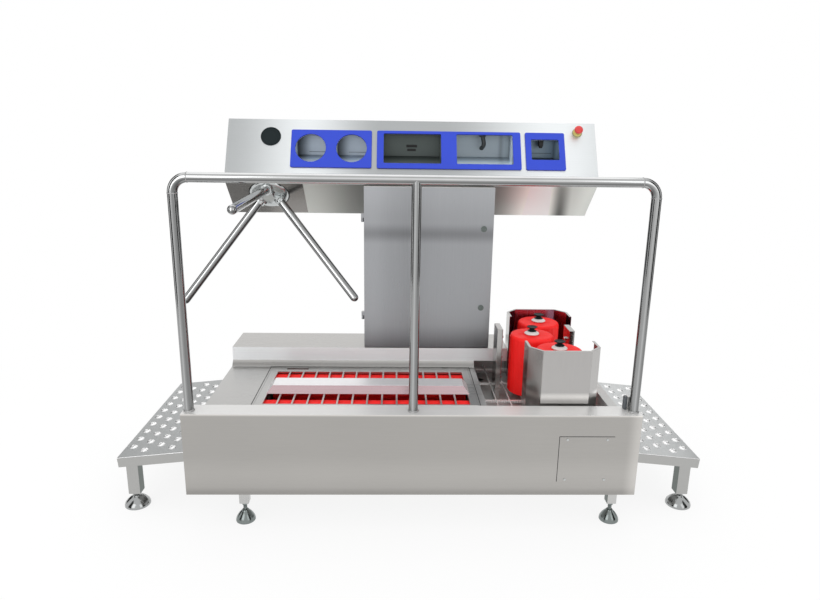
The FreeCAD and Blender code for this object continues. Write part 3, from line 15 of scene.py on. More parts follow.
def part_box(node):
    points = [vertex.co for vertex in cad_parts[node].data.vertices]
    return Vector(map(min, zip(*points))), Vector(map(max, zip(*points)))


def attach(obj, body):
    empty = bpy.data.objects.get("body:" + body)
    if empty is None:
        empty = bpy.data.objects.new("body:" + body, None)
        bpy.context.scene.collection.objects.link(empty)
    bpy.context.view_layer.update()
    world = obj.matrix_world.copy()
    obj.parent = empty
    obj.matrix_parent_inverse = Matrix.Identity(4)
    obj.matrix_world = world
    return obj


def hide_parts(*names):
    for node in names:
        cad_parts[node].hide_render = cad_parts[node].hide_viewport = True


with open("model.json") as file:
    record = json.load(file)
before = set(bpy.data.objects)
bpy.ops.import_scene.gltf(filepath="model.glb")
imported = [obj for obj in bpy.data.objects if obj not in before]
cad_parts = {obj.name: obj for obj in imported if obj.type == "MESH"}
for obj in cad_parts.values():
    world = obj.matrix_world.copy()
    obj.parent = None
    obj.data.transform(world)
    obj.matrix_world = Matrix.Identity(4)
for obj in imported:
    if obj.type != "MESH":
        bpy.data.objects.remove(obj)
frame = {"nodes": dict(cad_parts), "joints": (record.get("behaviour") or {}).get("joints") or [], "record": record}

LOG = logging.getLogger("boot_washer")
BODIES = frame["record"]["behaviour"]["bodies"]
BODY_OF = {node: body for body, nodes in BODIES.items() for node in nodes}
JOINTS = {joint["name"]: joint for joint in frame["joints"]}
UP = Vector((0.0, 0.0, 1.0))
RIGHT = Vector((1.0, 0.0, 0.0))
ACROSS, INWARDS, UPWARDS = range(3)
Piece = bpy.types.Object
Material = bpy.types.Material
Point = tuple[float, float, float]
Colour = tuple[float, float, float]
Place = Sequence[float]
Profile = Sequence[tuple[float, float]]


# Node arithmetic

class Signal:
    """An output of a material's nodes, with arithmetic that adds Math nodes."""

    def __init__(self, recipe: "Recipe", socket: bpy.types.NodeSocket) -> None:
        """Wrap one output socket of a recipe."""
        self.recipe = recipe
        self.socket = socket

    def _math(self, operation: str, first: "Signal | float", second: "Signal | float") -> "Signal":
        """Add one Math node and return its result."""
        return self.recipe.node("ShaderNodeMath", {"operation": operation}, {0: first, 1: second})

    def __add__(self, other: "Signal | float") -> "Signal":
        """Sum."""
        return self._math("ADD", self, other)

    def __radd__(self, other: float) -> "Signal":
        """Sum with a number on the left."""
        return self._math("ADD", other, self)

    def __sub__(self, other: "Signal | float") -> "Signal":
        """Difference."""
        return self._math("SUBTRACT", self, other)

    def __rsub__(self, other: float) -> "Signal":
        """Difference from a number."""
        return self._math("SUBTRACT", other, self)

    def __mul__(self, other: "Signal | float") -> "Signal":
        """Product."""
        return self._math("MULTIPLY", self, other)

    def __rmul__(self, other: float) -> "Signal":
        """Product with a number on the left."""
        return self._math("MULTIPLY", other, self)

    def __truediv__(self, other: "Signal | float") -> "Signal":
        """Quotient."""
        return self._math("DIVIDE", self, other)

    def __abs__(self) -> "Signal":
        """Absolute value."""
        return self._math("ABSOLUTE", self, 0.0)

    def at_most(self, limit: float) -> "Signal":
        """The smaller of this and a number."""
        return self._math("MINIMUM", self, limit)

    def at_least(self, limit: float) -> "Signal":
        """The larger of this and a number."""
        return self._math("MAXIMUM", self, limit)


class Recipe:
    """The nodes of one material, ending in one Principled shader."""

    def __init__(self, name: str, constants: dict[str, object]) -> None:
        """Start a material.

        Args:
            name: The material's name.
            constants: Values that are the same all over, set on the shader's own sockets.
        """
        self.material = bpy.data.materials.new(name)
        self.material.use_nodes = True
        self.tree = self.material.node_tree
        self.tree.nodes.clear()
        output = self.tree.nodes.new("ShaderNodeOutputMaterial")
        self.shader = self.tree.nodes.new("ShaderNodeBsdfPrincipled")
        self.tree.links.new(self.shader.outputs[0], output.inputs["Surface"])
        for socket, value in constants.items():
            self.shader.inputs[socket].default_value = value

    def node(self, kind: str, settings: dict[str, object], inputs: dict[object, object],
             output: int | str = 0) -> Signal:
        """Add a node.

        Args:
            kind: The node's type.
            settings: Its attributes, and under "stops" the places and colours of a ramp.
            inputs: Values or signals by the name or number of the socket.
            output: The output that is wanted.

        Returns:
            The output as a signal.
        """
        made = self.tree.nodes.new(kind)
        for name, value in settings.items():
            if name == "stops":
                elements = made.color_ramp.elements
                for place, colour in value[len(elements):]:
                    elements.new(place)
                for element, (place, colour) in zip(elements, value):
                    element.position = place
                    element.color = (*colour, 1.0)
            else:
                setattr(made, name, value)
        for key, value in inputs.items():
            if isinstance(value, Signal):
                self.tree.links.new(value.socket, made.inputs[key])
            else:
                made.inputs[key].default_value = value
        return Signal(self, made.outputs[output])

    def feed(self, socket: str, signal: Signal) -> None:
        """Link a signal to one of the shader's sockets."""
        self.tree.links.new(signal.socket, self.shader.inputs[socket])

    def place(self, scale: Point = (1.0, 1.0, 1.0)) -> Signal:
        """Object coordinates, scaled."""
        here = self.node("ShaderNodeTexCoord", {}, {}, "Object")
        return self.node("ShaderNodeMapping", {}, {"Vector": here, "Scale": scale})

    def noise(self, scale: Point, detail: float = 2.0, roughness: float = 0.5) -> Signal:
        """Noise on object coordinates, from 0 to 1.

        Args:
            scale: Cells per metre along each axis.
            detail: Octaves of the noise.
            roughness: Share of the finer octaves.

        Returns:
            The noise's value.
        """
        return self.node("ShaderNodeTexNoise", {}, {"Vector": self.place(scale), "Scale": 1.0,
                                                    "Detail": detail, "Roughness": roughness})

    def tinted(self, colour: Colour, level: Signal) -> Signal:
        """A colour multiplied by a level."""
        return self.node("ShaderNodeVectorMath", {"operation": "SCALE"}, {0: colour, "Scale": level})

    def between(self, share: Signal, first: object, second: object) -> Signal:
        """A mix of two colours."""
        return self.node("ShaderNodeMix", {"data_type": "RGBA"}, {0: share, 6: first, 7: second}, 2)

    def finish(self, shader: Signal) -> None:
        """Send another shader to the output in place of the Principled one."""
        output = next(node for node in self.tree.nodes if node.type == "OUTPUT_MATERIAL")
        self.tree.links.new(shader.socket, output.inputs["Surface"])

    def bump(self, height: Signal, strength: float, distance: float) -> None:
        """Raise the surface's shading by a height."""
        self.feed("Normal", self.node("ShaderNodeBump", {}, {"Height": height, "Strength": strength,
                                                             "Distance": distance}))


# Finishes

class Grain(Enum):
    """The way that the brush lines of a sheet run, as cells per metre along each axis."""

    LEVEL = (5.0, 260.0, 260.0)
    UPRIGHT = (260.0, 260.0, 5.0)
    INWARD = (260.0, 5.0, 260.0)


@dataclass(frozen=True)
class PaintedLightBand:
    """A soft lighter or darker band painted across a sheet, standing in for the reflections, highlights and shade
    that light puts on large brushed sheets.

    It lies at a place along one axis, with a half width and a strength above or below zero.
    A band with a lean moves along its axis by that much for each metre of height.
    """

    axis: int
    middle: float
    half: float
    strength: float
    lean: float = 0.0


def with_painted_bands(recipe: Recipe, level: Signal, painted_bands: Sequence[PaintedLightBand]) -> Signal:
    """A level with painted bands of light and shade laid over it."""
    if not painted_bands:
        return level
    here = recipe.place()
    axes = [recipe.node("ShaderNodeSeparateXYZ", {}, {0: here}, axis)
            for axis in (ACROSS, INWARDS, UPWARDS)]
    for band in painted_bands:
        across = axes[band.axis] - band.middle
        if band.lean:
            across = across - band.lean * axes[UPWARDS]
        near = (1.0 - abs(across / band.half)).at_least(0.0)
        level = level + band.strength * (near * near * (3.0 - 2.0 * near))
    return level


@dataclass(frozen=True)
class BrushedSteel:
    """Stainless sheet with brush lines, faint clouds and painted bands of reflected light and shade."""

    name: str
    colour: Colour = (0.62, 0.62, 0.61)
    roughness: float = 0.34
    grain: Grain = Grain.LEVEL
    painted_bands: tuple[PaintedLightBand, ...] = ()
    metallic: float = 1.0

    def make(self) -> Material:
        """Build the material."""
        recipe = Recipe(self.name, {"Metallic": self.metallic})
        lines = recipe.noise(self.grain.value, 3.0)
        fine = recipe.noise(tuple(3.1 * size for size in self.grain.value), 2.0)
        cloud = recipe.noise((1.7, 1.7, 1.7), 2.0)
        level = 1.0 + 0.10 * (lines - 0.5) + 0.06 * (fine - 0.5) + 0.10 * (cloud - 0.5)
        recipe.feed("Base Color", recipe.tinted(self.colour, with_painted_bands(recipe, level, self.painted_bands)))
        recipe.feed("Roughness", self.roughness + 0.16 * (lines - 0.5) + 0.10 * (cloud - 0.5))
        recipe.bump(lines + 0.5 * fine, 0.10, 0.0004)
        return recipe.material


# Painted reflections: light and dark streaks along a tube, the tone for each way that its surface faces, from 0 to
# 1
REFLECTION_STREAKS = (
    (UPWARDS, ((0.00, 0.36), (0.10, 0.62), (0.18, 0.56), (0.26, 0.20), (0.34, 0.22), (0.45, 0.38),
               (0.51, 0.46), (0.56, 0.78), (0.66, 0.74), (0.76, 0.48), (0.86, 0.64), (1.00, 0.62))),
    (ACROSS, ((0.00, 0.28), (0.08, 0.42), (0.30, 0.47), (0.42, 0.66), (0.50, 0.52), (0.58, 0.40),
              (0.72, 0.30), (0.88, 0.32), (0.96, 0.50), (1.00, 0.32))))


@dataclass(frozen=True)
class PolishedSteel:
    """Bright tube and turned steel, with faint draw lines and finger marks, and, when asked, painted reflection
    streaks set by the way the surface faces.
    """

    name: str
    colour: Colour = (0.68, 0.69, 0.69)
    roughness: float = 0.16
    reflection_streaked: bool = False

    def make(self) -> Material:
        """Build the material."""
        recipe = Recipe(self.name, {"Metallic": 1.0})
        marks = recipe.noise((14.0, 14.0, 14.0), 3.0)
        draw = recipe.noise((90.0, 90.0, 90.0), 2.0)
        level = 1.0 + 0.12 * (marks - 0.5)
        if self.reflection_streaked:
            # painted reflections: the colour follows the way that the surface faces
            normal = recipe.node("ShaderNodeNewGeometry", {}, {}, "Normal")
            for axis, streaks in REFLECTION_STREAKS:
                way = 0.5 + 0.5 * recipe.node("ShaderNodeSeparateXYZ", {}, {0: normal}, axis)
                stops = [(place, (tone, tone, tone)) for place, tone in streaks]
                level = level * 2.0 * recipe.node("ShaderNodeValToRGB", {"stops": stops}, {"Fac": way})
        recipe.feed("Base Color", recipe.tinted(self.colour, level))
        recipe.feed("Roughness", self.roughness + 0.10 * (marks - 0.5))
        recipe.bump(draw, 0.04, 0.0003)
        return recipe.material


@dataclass(frozen=True)
class TreadPlate:
    """Dull anti-slip plate with rubbed and stained patches, and painted bands of light."""

    name: str
    colour: Colour = (0.40, 0.41, 0.41)
    painted_bands: tuple[PaintedLightBand, ...] = ()

    def make(self) -> Material:
        """Build the material."""
        recipe = Recipe(self.name, {"Metallic": 0.45})
        grit = recipe.noise((330.0, 330.0, 330.0), 3.0, 0.6)
        stain = recipe.noise((11.0, 7.0, 11.0), 4.0, 0.6)
        level = 0.80 + 0.35 * grit + 0.20 * (stain - 0.5)
        recipe.feed("Base Color", recipe.tinted(self.colour, with_painted_bands(recipe, level, self.painted_bands)))
        recipe.feed("Roughness", 0.42 + 0.25 * (stain - 0.5) + 0.12 * (grit - 0.5))
        recipe.bump(grit, 0.22, 0.0006)
        return recipe.material


@dataclass(frozen=True)
class Moulded:
    """Moulded plastic or paint with a faint orange-peel and rubbed spots."""

    name: str
    colour: Colour
    roughness: float = 0.4
    coat: float = 0.0
    specular: float = 0.5

    def make(self) -> Material:
        """Build the material."""
        recipe = Recipe(self.name, {"Metallic": 0.0, "Coat Weight": self.coat, "Coat Roughness": 0.12,
                                    "Specular IOR Level": self.specular})
        peel = recipe.noise((420.0, 420.0, 420.0), 2.0)
        rubbed = recipe.noise((9.0, 9.0, 9.0), 3.0)
        recipe.feed("Base Color", recipe.tinted(self.colour, 1.0 + 0.12 * (rubbed - 0.5)))
        recipe.feed("Roughness", self.roughness + 0.14 * (rubbed - 0.5))
        recipe.bump(peel, 0.06, 0.0003)
        return recipe.material


@dataclass(frozen=True)
class Bristle:
    """Packed nylon bristles with random patches, in the tip colour, with painted shade in the depth colour between
    the tufts.
    """

    name: str
    tip: Colour = (1.0, 0.012, 0.010)
    # the depth colour is painted shade between the tufts
    depth: Colour = (0.90, 0.005, 0.005)

    def make(self) -> Material:
        """Build the material."""
        recipe = Recipe(self.name, {"Metallic": 0.0, "Specular IOR Level": 0.35})
        cell = recipe.node("ShaderNodeTexVoronoi", {}, {"Vector": recipe.place((300.0, 300.0, 300.0)),
                                                        "Scale": 1.0})
        patch = recipe.noise((25.0, 25.0, 25.0), 3.0)
        # painted shade: the edges of the cells, between the tufts, go towards the depth colour
        share = (0.35 * cell + 0.40 * patch).at_most(1.0)
        recipe.feed("Base Color", recipe.between(share, (*self.tip, 1.0), (*self.depth, 1.0)))
        recipe.feed("Roughness", 0.55 + 0.2 * (patch - 0.5))
        recipe.bump(1.0 - cell, 0.5, 0.0012)
        return recipe.material


def window_glow(strength: float) -> PaintedLightBand:
    """The light that falls through a window on the walls of the niche behind it."""
    return PaintedLightBand(INWARDS, 0.215, 0.068, strength)


FINISHES = (
    # painted reflections and highlights: lighter bands at the bends and along the top, a darker band low down
    BrushedSteel("front_wall_steel", (0.408, 0.396, 0.378), painted_bands=(
        PaintedLightBand(ACROSS, 0.93, 0.06, 0.40), PaintedLightBand(UPWARDS, 0.25, 0.10, 0.10),
        PaintedLightBand(UPWARDS, 0.165, 0.03, -0.18), PaintedLightBand(UPWARDS, 0.515, 0.010, 0.80))),
    # painted highlight: a lighter copy of the sheet steel for faces that look up
    BrushedSteel("top_lit_steel", (0.74, 0.735, 0.725), 0.42, metallic=0.45),
    BrushedSteel("deck_steel", (0.505, 0.50, 0.49), 0.30),
    BrushedSteel("hood_steel", (0.88, 0.87, 0.88), 0.40, metallic=0.7),
    # painted reflection of the red brushes on the hood's faces towards them
    BrushedSteel("hood_side_reflection_steel", (0.55, 0.41, 0.43), 0.24),
    # painted light and shade: a lit band on the plinth's face and a darker band on its cove
    BrushedSteel("plinth_steel", (0.50, 0.49, 0.475), 0.30, painted_bands=(
        PaintedLightBand(UPWARDS, 0.571, 0.032, 1.05), PaintedLightBand(UPWARDS, 0.524, 0.018, -0.40))),
    # painted light: a lighter copy of the plinth steel for the faces that look forward
    BrushedSteel("plinth_face_lit_steel", (0.82, 0.83, 0.84), 0.42, metallic=0.40),
    # painted reflections: lighter bands across the console's face
    BrushedSteel("console_steel", (0.43, 0.445, 0.45), 0.42, painted_bands=(
        PaintedLightBand(ACROSS, -0.50, 0.36, 0.9), PaintedLightBand(ACROSS, -0.88, 0.30, 0.08),
        PaintedLightBand(ACROSS, 0.68, 0.56, 1.0))),
    # painted shade and reflections: a darker copy for the console's underside, with lighter and darker bands
    BrushedSteel("underside_shade_reflection_steel", (0.236, 0.242, 0.230), 0.42, metallic=0.85, painted_bands=(
        PaintedLightBand(ACROSS, -0.52, 0.30, 1.90), PaintedLightBand(ACROSS, 0.62, 0.24, 4.2),
        PaintedLightBand(ACROSS, 0.999, 0.062, -2.8, -0.225), PaintedLightBand(ACROSS, 0.84, 0.12, 2.6),
        PaintedLightBand(ACROSS, 0.10, 0.40, 0.7))),
    # painted reflections: light and dark bands across the cabinet, the dark one low down for the rail it mirrors
    BrushedSteel("cabinet_steel", (0.335, 0.342, 0.356), 0.32, Grain.UPRIGHT, (
        PaintedLightBand(UPWARDS, 1.16, 0.055, -0.34), PaintedLightBand(UPWARDS, 1.40, 0.20, 0.22),
        PaintedLightBand(UPWARDS, 0.60, 0.13, -0.40), PaintedLightBand(ACROSS, -0.19, 0.10, 0.10))),
    # painted reflection: a bright band low on the guards
    BrushedSteel("guard_steel", (0.45, 0.44, 0.43), 0.20, Grain.UPRIGHT, (
        PaintedLightBand(UPWARDS, 0.550, 0.022, 0.80),)),
    # painted reflection of the red brushes on the guards' inner faces
    BrushedSteel("guard_inner_reflection_steel", (0.40, 0.17, 0.24), 0.26, Grain.UPRIGHT),
    BrushedSteel("cover_steel", (0.28, 0.268, 0.256), 0.18),
    # niches: darker copies of one steel for their shade, with painted light from the windows and painted shade at
    # the left of the hand holes and in the basin
    BrushedSteel("basin_steel", (0.28, 0.325, 0.36), 0.40, metallic=0.6, painted_bands=(
        window_glow(2.6), PaintedLightBand(ACROSS, 0.425, 0.018, -0.30))),
    BrushedSteel("soap_niche_steel", (0.165, 0.215, 0.26), 0.35, metallic=0.8,
                 painted_bands=(window_glow(1.6),)),
    BrushedSteel("hand_niche_steel", (0.38, 0.435, 0.50), 0.40, metallic=0.6, painted_bands=(
        window_glow(2.0), PaintedLightBand(ACROSS, -0.548, 0.075, -0.80),
        PaintedLightBand(ACROSS, -0.360, 0.068, -0.80))),
    BrushedSteel("dryer_niche_shade_steel", (0.084, 0.100, 0.096), 0.4, metallic=0.7,
                 painted_bands=(window_glow(2.6),)),
    BrushedSteel("pit_steel", (0.56, 0.56, 0.55), 0.50, Grain.INWARD, metallic=0.5),
    BrushedSteel("rod_steel", (0.95, 0.95, 0.94), 0.25, Grain.UPRIGHT, metallic=0.4),
    BrushedSteel("step_steel", (0.43, 0.43, 0.42), 0.32, Grain.INWARD),
    BrushedSteel("step_shade_steel", (0.13, 0.15, 0.14), 0.32, Grain.INWARD),
    BrushedSteel("frame_steel", (0.55, 0.55, 0.54), 0.30, Grain.INWARD),
    PolishedSteel("tube_steel", (0.395, 0.40, 0.40), 0.12, reflection_streaked=True),
    PolishedSteel("turned_steel", (0.52, 0.54, 0.54), 0.13),
    PolishedSteel("weld_steel", (0.46, 0.46, 0.46), 0.45),
    # painted highlight: a light steel for the tread edges and the raised dimples
    PolishedSteel("painted_highlight_steel", (0.95, 0.95, 0.95), 0.40),
    # painted shade: a darker copy of the foot steel for the feet under the tub
    PolishedSteel("shaded_foot_steel", (0.22, 0.245, 0.24), 0.16),
    PolishedSteel("pad_steel", (0.38, 0.39, 0.39), 0.15),
    # painted light: a lighter band across the right tread's outer part
    TreadPlate("tread_steel", painted_bands=(PaintedLightBand(ACROSS, 1.12, 0.40, 0.45),)),
    Moulded("blue_frame", (0.014, 0.050, 0.54), 0.34),
    # painted shade: a darker blue for the frames' eased edges
    Moulded("blue_edge_shade", (0.004, 0.012, 0.26), 0.42, specular=0.3),
    # painted shadow: black for the line at the service cover's left and top
    Moulded("shadow_black", (0.012, 0.012, 0.013), 0.45),
    Moulded("black_gloss", (0.010, 0.014, 0.015), 0.30),
    Moulded("reader_black", (0.006, 0.013, 0.015), 0.55, specular=0.2),
    Moulded("washer_nylon", (0.72, 0.70, 0.68), 0.40),
    Moulded("yellow_ring", (0.62, 0.52, 0.14), 0.35, 0.2),
    Moulded("red_head", (0.62, 0.032, 0.032), 0.28, 0.4),
    Moulded("grey_ring", (0.34, 0.31, 0.15), 0.40),
    Moulded("tank_nylon", (0.78, 0.78, 0.74), 0.45),
    Moulded("gear_grey", (0.50, 0.51, 0.52), 0.50),
    Moulded("drive_grey", (0.10, 0.11, 0.12), 0.50),
    Moulded("motor_paint", (0.05, 0.06, 0.075), 0.42),
    Moulded("hole_shade", (0.02, 0.02, 0.02), 0.8),
    Bristle("red_bristle"),
)


class Finishes:
    """Every finish's material by name."""

    def __init__(self) -> None:
        """Build all the materials."""
        self.materials = {finish.name: finish.make() for finish in FINISHES}

    def lay(self, piece: Piece, *names: str) -> None:
        """Give a piece its finishes, one for each of its material slots."""
        piece.data.materials.clear()
        for name in names:
            piece.data.materials.append(self.materials[name])

    def on_node(self, node: str, name: str) -> None:
        """Give a CAD node its finish."""
        held = frame["nodes"][node]
        if not held.material_slots:
            held.data.materials.append(self.materials[name])
        for slot in held.material_slots:
            slot.material = self.materials[name]


# Modelling

def let_go() -> None:
    """Leave edit mode and deselect everything."""
    if bpy.context.object is not None and bpy.context.object.mode != "OBJECT":
        bpy.ops.object.mode_set(mode="OBJECT")
    bpy.ops.object.select_all(action="DESELECT")


def hold(*pieces: Piece) -> None:
    """Select pieces, the last of them active."""
    let_go()
    for piece in pieces:
        piece.select_set(True)
        bpy.context.view_layer.objects.active = piece


@contextmanager
def editing(piece: Piece) -> Iterator[None]:
    """Edit a piece's mesh with all of it selected."""
    hold(piece)
    bpy.ops.object.mode_set(mode="EDIT")
    bpy.ops.mesh.select_mode(type="VERT")
    bpy.ops.mesh.select_all(action="SELECT")
    yield
    bpy.ops.object.mode_set(mode="OBJECT")


def settle(piece: Piece, placing: Matrix | None = None, smooth: float = 35.0) -> Piece:
    """Put a piece's place into its mesh and shade it.

    Args:
        piece: The piece.
        placing: A transform to apply on top of its own.
        smooth: The angle in degrees below which its edges are shaded smooth.

    Returns:
        The same piece.
    """
    hold(piece)
    if placing is not None:
        piece.matrix_world = placing @ piece.matrix_world
        bpy.context.view_layer.update()
    bpy.ops.object.transform_apply(location=True, rotation=True, scale=True)
    bpy.ops.object.shade_smooth_by_angle(angle=math.radians(smooth))
    return piece


def towards(centre: Place, axis: Place) -> Matrix:
    """The transform that takes the upright axis at the origin to an axis through a point."""
    way = Vector(axis)
    downwards = way.normalized() == -UP
    turn = Quaternion(RIGHT, math.pi) if downwards else UP.rotation_difference(way)
    return Matrix.Translation(Vector(centre)) @ turn.to_matrix().to_4x4()


def mm(*points: tuple[float, float]) -> Profile:
    """A profile written in millimetres, in metres."""
    return [(0.001 * radius, 0.001 * height) for radius, height in points]


def turned(name: str, profile: Profile, steps: int = 48, centre: Place = (0.0, 0.0, 0.0),
           axis: Place = (0.0, 0.0, 1.0), smooth: float = 35.0) -> Piece:
    """A turned piece: a profile of radius and height, spun round its axis.

    Args:
        name: The piece's name.
        profile: Radius and height of each point, from one end of the profile to the other.
        steps: Steps round the axis.
        centre: Where the profile's height is zero.
        axis: The axis of the turning.
        smooth: The angle in degrees below which edges are shaded smooth.

    Returns:
        The piece.
    """
    let_go()
    bpy.ops.mesh.primitive_plane_add(size=0.001)
    piece = bpy.context.object
    piece.name = name
    with editing(piece):
        bpy.ops.mesh.merge(type="CENTER")
        bpy.ops.transform.translate(value=(profile[0][0], 0.0, profile[0][1]))
        for before, after in zip(profile, profile[1:]):
            bpy.ops.mesh.extrude_region_move(
                TRANSFORM_OT_translate={"value": (after[0] - before[0], 0.0, after[1] - before[1])})
        bpy.ops.mesh.select_all(action="SELECT")
        bpy.ops.mesh.spin(steps=steps, angle=2.0 * math.pi, center=(0.0, 0.0, 0.0), axis=(0.0, 0.0, 1.0))
        bpy.ops.mesh.select_all(action="SELECT")
        bpy.ops.mesh.remove_doubles(threshold=1e-6)
        bpy.ops.mesh.normals_make_consistent(inside=False)
    return settle(piece, towards(centre, axis), smooth)


def slab(name: str, low: Place, high: Place, edge: float, segments: int = 3) -> Piece:
    """A block between two corners, with all its edges rounded."""
    let_go()
    middle = [(a + b) / 2 for a, b in zip(low, high)]
    size = [b - a for a, b in zip(low, high)]
    bpy.ops.mesh.primitive_cube_add(size=1.0, location=middle, scale=size)
    piece = bpy.context.object
    piece.name = name
    bpy.ops.object.transform_apply(location=True, rotation=True, scale=True)
    with editing(piece):
        bpy.ops.mesh.bevel(offset=edge, segments=segments, affect="EDGES")
    return settle(piece)


def copied(piece: Piece, placing: Matrix) -> Piece:
    """A copy of a piece, with a mesh of its own, moved by a transform."""
    twin = piece.copy()
    twin.data = piece.data.copy()
    bpy.context.scene.collection.objects.link(twin)
    twin.data.transform(placing)
    return twin


def joined(name: str, pieces: Sequence[Piece]) -> Piece:
    """Several pieces as one."""
    hold(*reversed(pieces))
    bpy.ops.object.join()
    pieces[0].name = name
    return pieces[0]


def bent_bar(name: str, points: Sequence[Place], radius: float) -> Piece:
    """A round bar that bends smoothly along points."""
    curve = bpy.data.curves.new(name, "CURVE")
    curve.dimensions = "3D"
    curve.bevel_depth = radius
    curve.bevel_resolution = 4
    curve.use_fill_caps = True
    spline = curve.splines.new("NURBS")
    spline.points.add(len(points) - 1)
    for held, point in zip(spline.points, points):
        held.co = (*point, 1.0)
    spline.order_u = 3
    spline.use_endpoint_u = True
    bar = bpy.data.objects.new(name, curve)
    bpy.context.scene.collection.objects.link(bar)
    hold(bar)
    bpy.ops.object.convert(target="MESH")
    return settle(bpy.context.object)


class Shop:
    """Finishes pieces and sets them on their bodies."""

    merge_within: float = 1e-5
    flat_within: float = math.radians(0.6)
    sharp_from: float = math.radians(32.0)

    def __init__(self) -> None:
        """Start with every finish made."""
        self.finishes = Finishes()

    def deliver(self, piece: Piece, slot: str, *finishes: str, body: str = "station",
                stands_for: Sequence[str] = ()) -> Piece:
        """Finish a piece and make it ride.

        Args:
            piece: The piece, in place.
            slot: The record's material slot; not used.
            finishes: The names of its finishes, one for each of its own slots.
            body: The body that it moves with.
            stands_for: The CAD nodes that it replaces.

        Returns:
            The same piece.
        """
        self.finishes.lay(piece, *finishes)
        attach(piece, body)
        if stands_for:
            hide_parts(*stands_for)
        LOG.info("%s: %d faces, rides on %s", piece.name, len(piece.data.polygons), body)
        return piece

    def eased(self, node: str, width: float, finish: str, slot: str = "brushed",
              segments: int = 2) -> Piece:
        """A folded or machined CAD node with its sharp edges eased.

        Args:
            node: The CAD node, which the piece stands for.
            width: The width of the eased edge.
            finish: The finish.
            slot: The record's material slot.
            segments: Segments across the eased edge.

        Returns:
            The piece.
        """
        source = frame["nodes"][node]
        piece = source.copy()
        piece.data = source.data.copy()
        for key in list(piece.keys()):
            del piece[key]
        piece.parent = None
        piece.matrix_world = Matrix.Identity(4)
        piece.name = node + "_eased"
        bpy.context.scene.collection.objects.link(piece)
        hold(piece)
        if piece.data.has_custom_normals:
            bpy.ops.mesh.customdata_custom_splitnormals_clear()
        with editing(piece):
            bpy.ops.mesh.remove_doubles(threshold=self.merge_within)
            bpy.ops.mesh.dissolve_limited(angle_limit=self.flat_within)
        easing = piece.modifiers.new("easing", "BEVEL")
        easing.width = width
        easing.segments = segments
        easing.limit_method = "ANGLE"
        easing.angle_limit = self.sharp_from
        easing.use_clamp_overlap = True
        bpy.ops.object.modifier_apply(modifier=easing.name)
        settle(piece, smooth=30.0)
        evening = piece.modifiers.new("evening", "WEIGHTED_NORMAL")
        evening.keep_sharp = True
        bpy.ops.object.modifier_apply(modifier=evening.name)
        return self.deliver(piece, slot, finish, body=BODY_OF[node], stands_for=[node])

    def tone(self, piece: Piece, finish: str, way: Place, least: float) -> None:
        """Give the faces of a piece that lean one way another finish: a lighter, darker or tinted copy that paints
        the light, shade and reflections that fall on them.

        Args:
            piece: The piece.
            finish: The finish of those faces.
            way: The direction that they face.
            least: The least share of that direction in their normal.
        """
        piece.data.materials.append(self.finishes.materials[finish])
        for face in piece.data.polygons:
            face.material_index = int(face.normal.dot(Vector(way)) > least)


def corners(node: str) -> tuple[Vector, Vector]:
    """The lowest and highest corner of a CAD node."""
    low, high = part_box(node)
    return Vector(low), Vector(high)


# Sub-assemblies

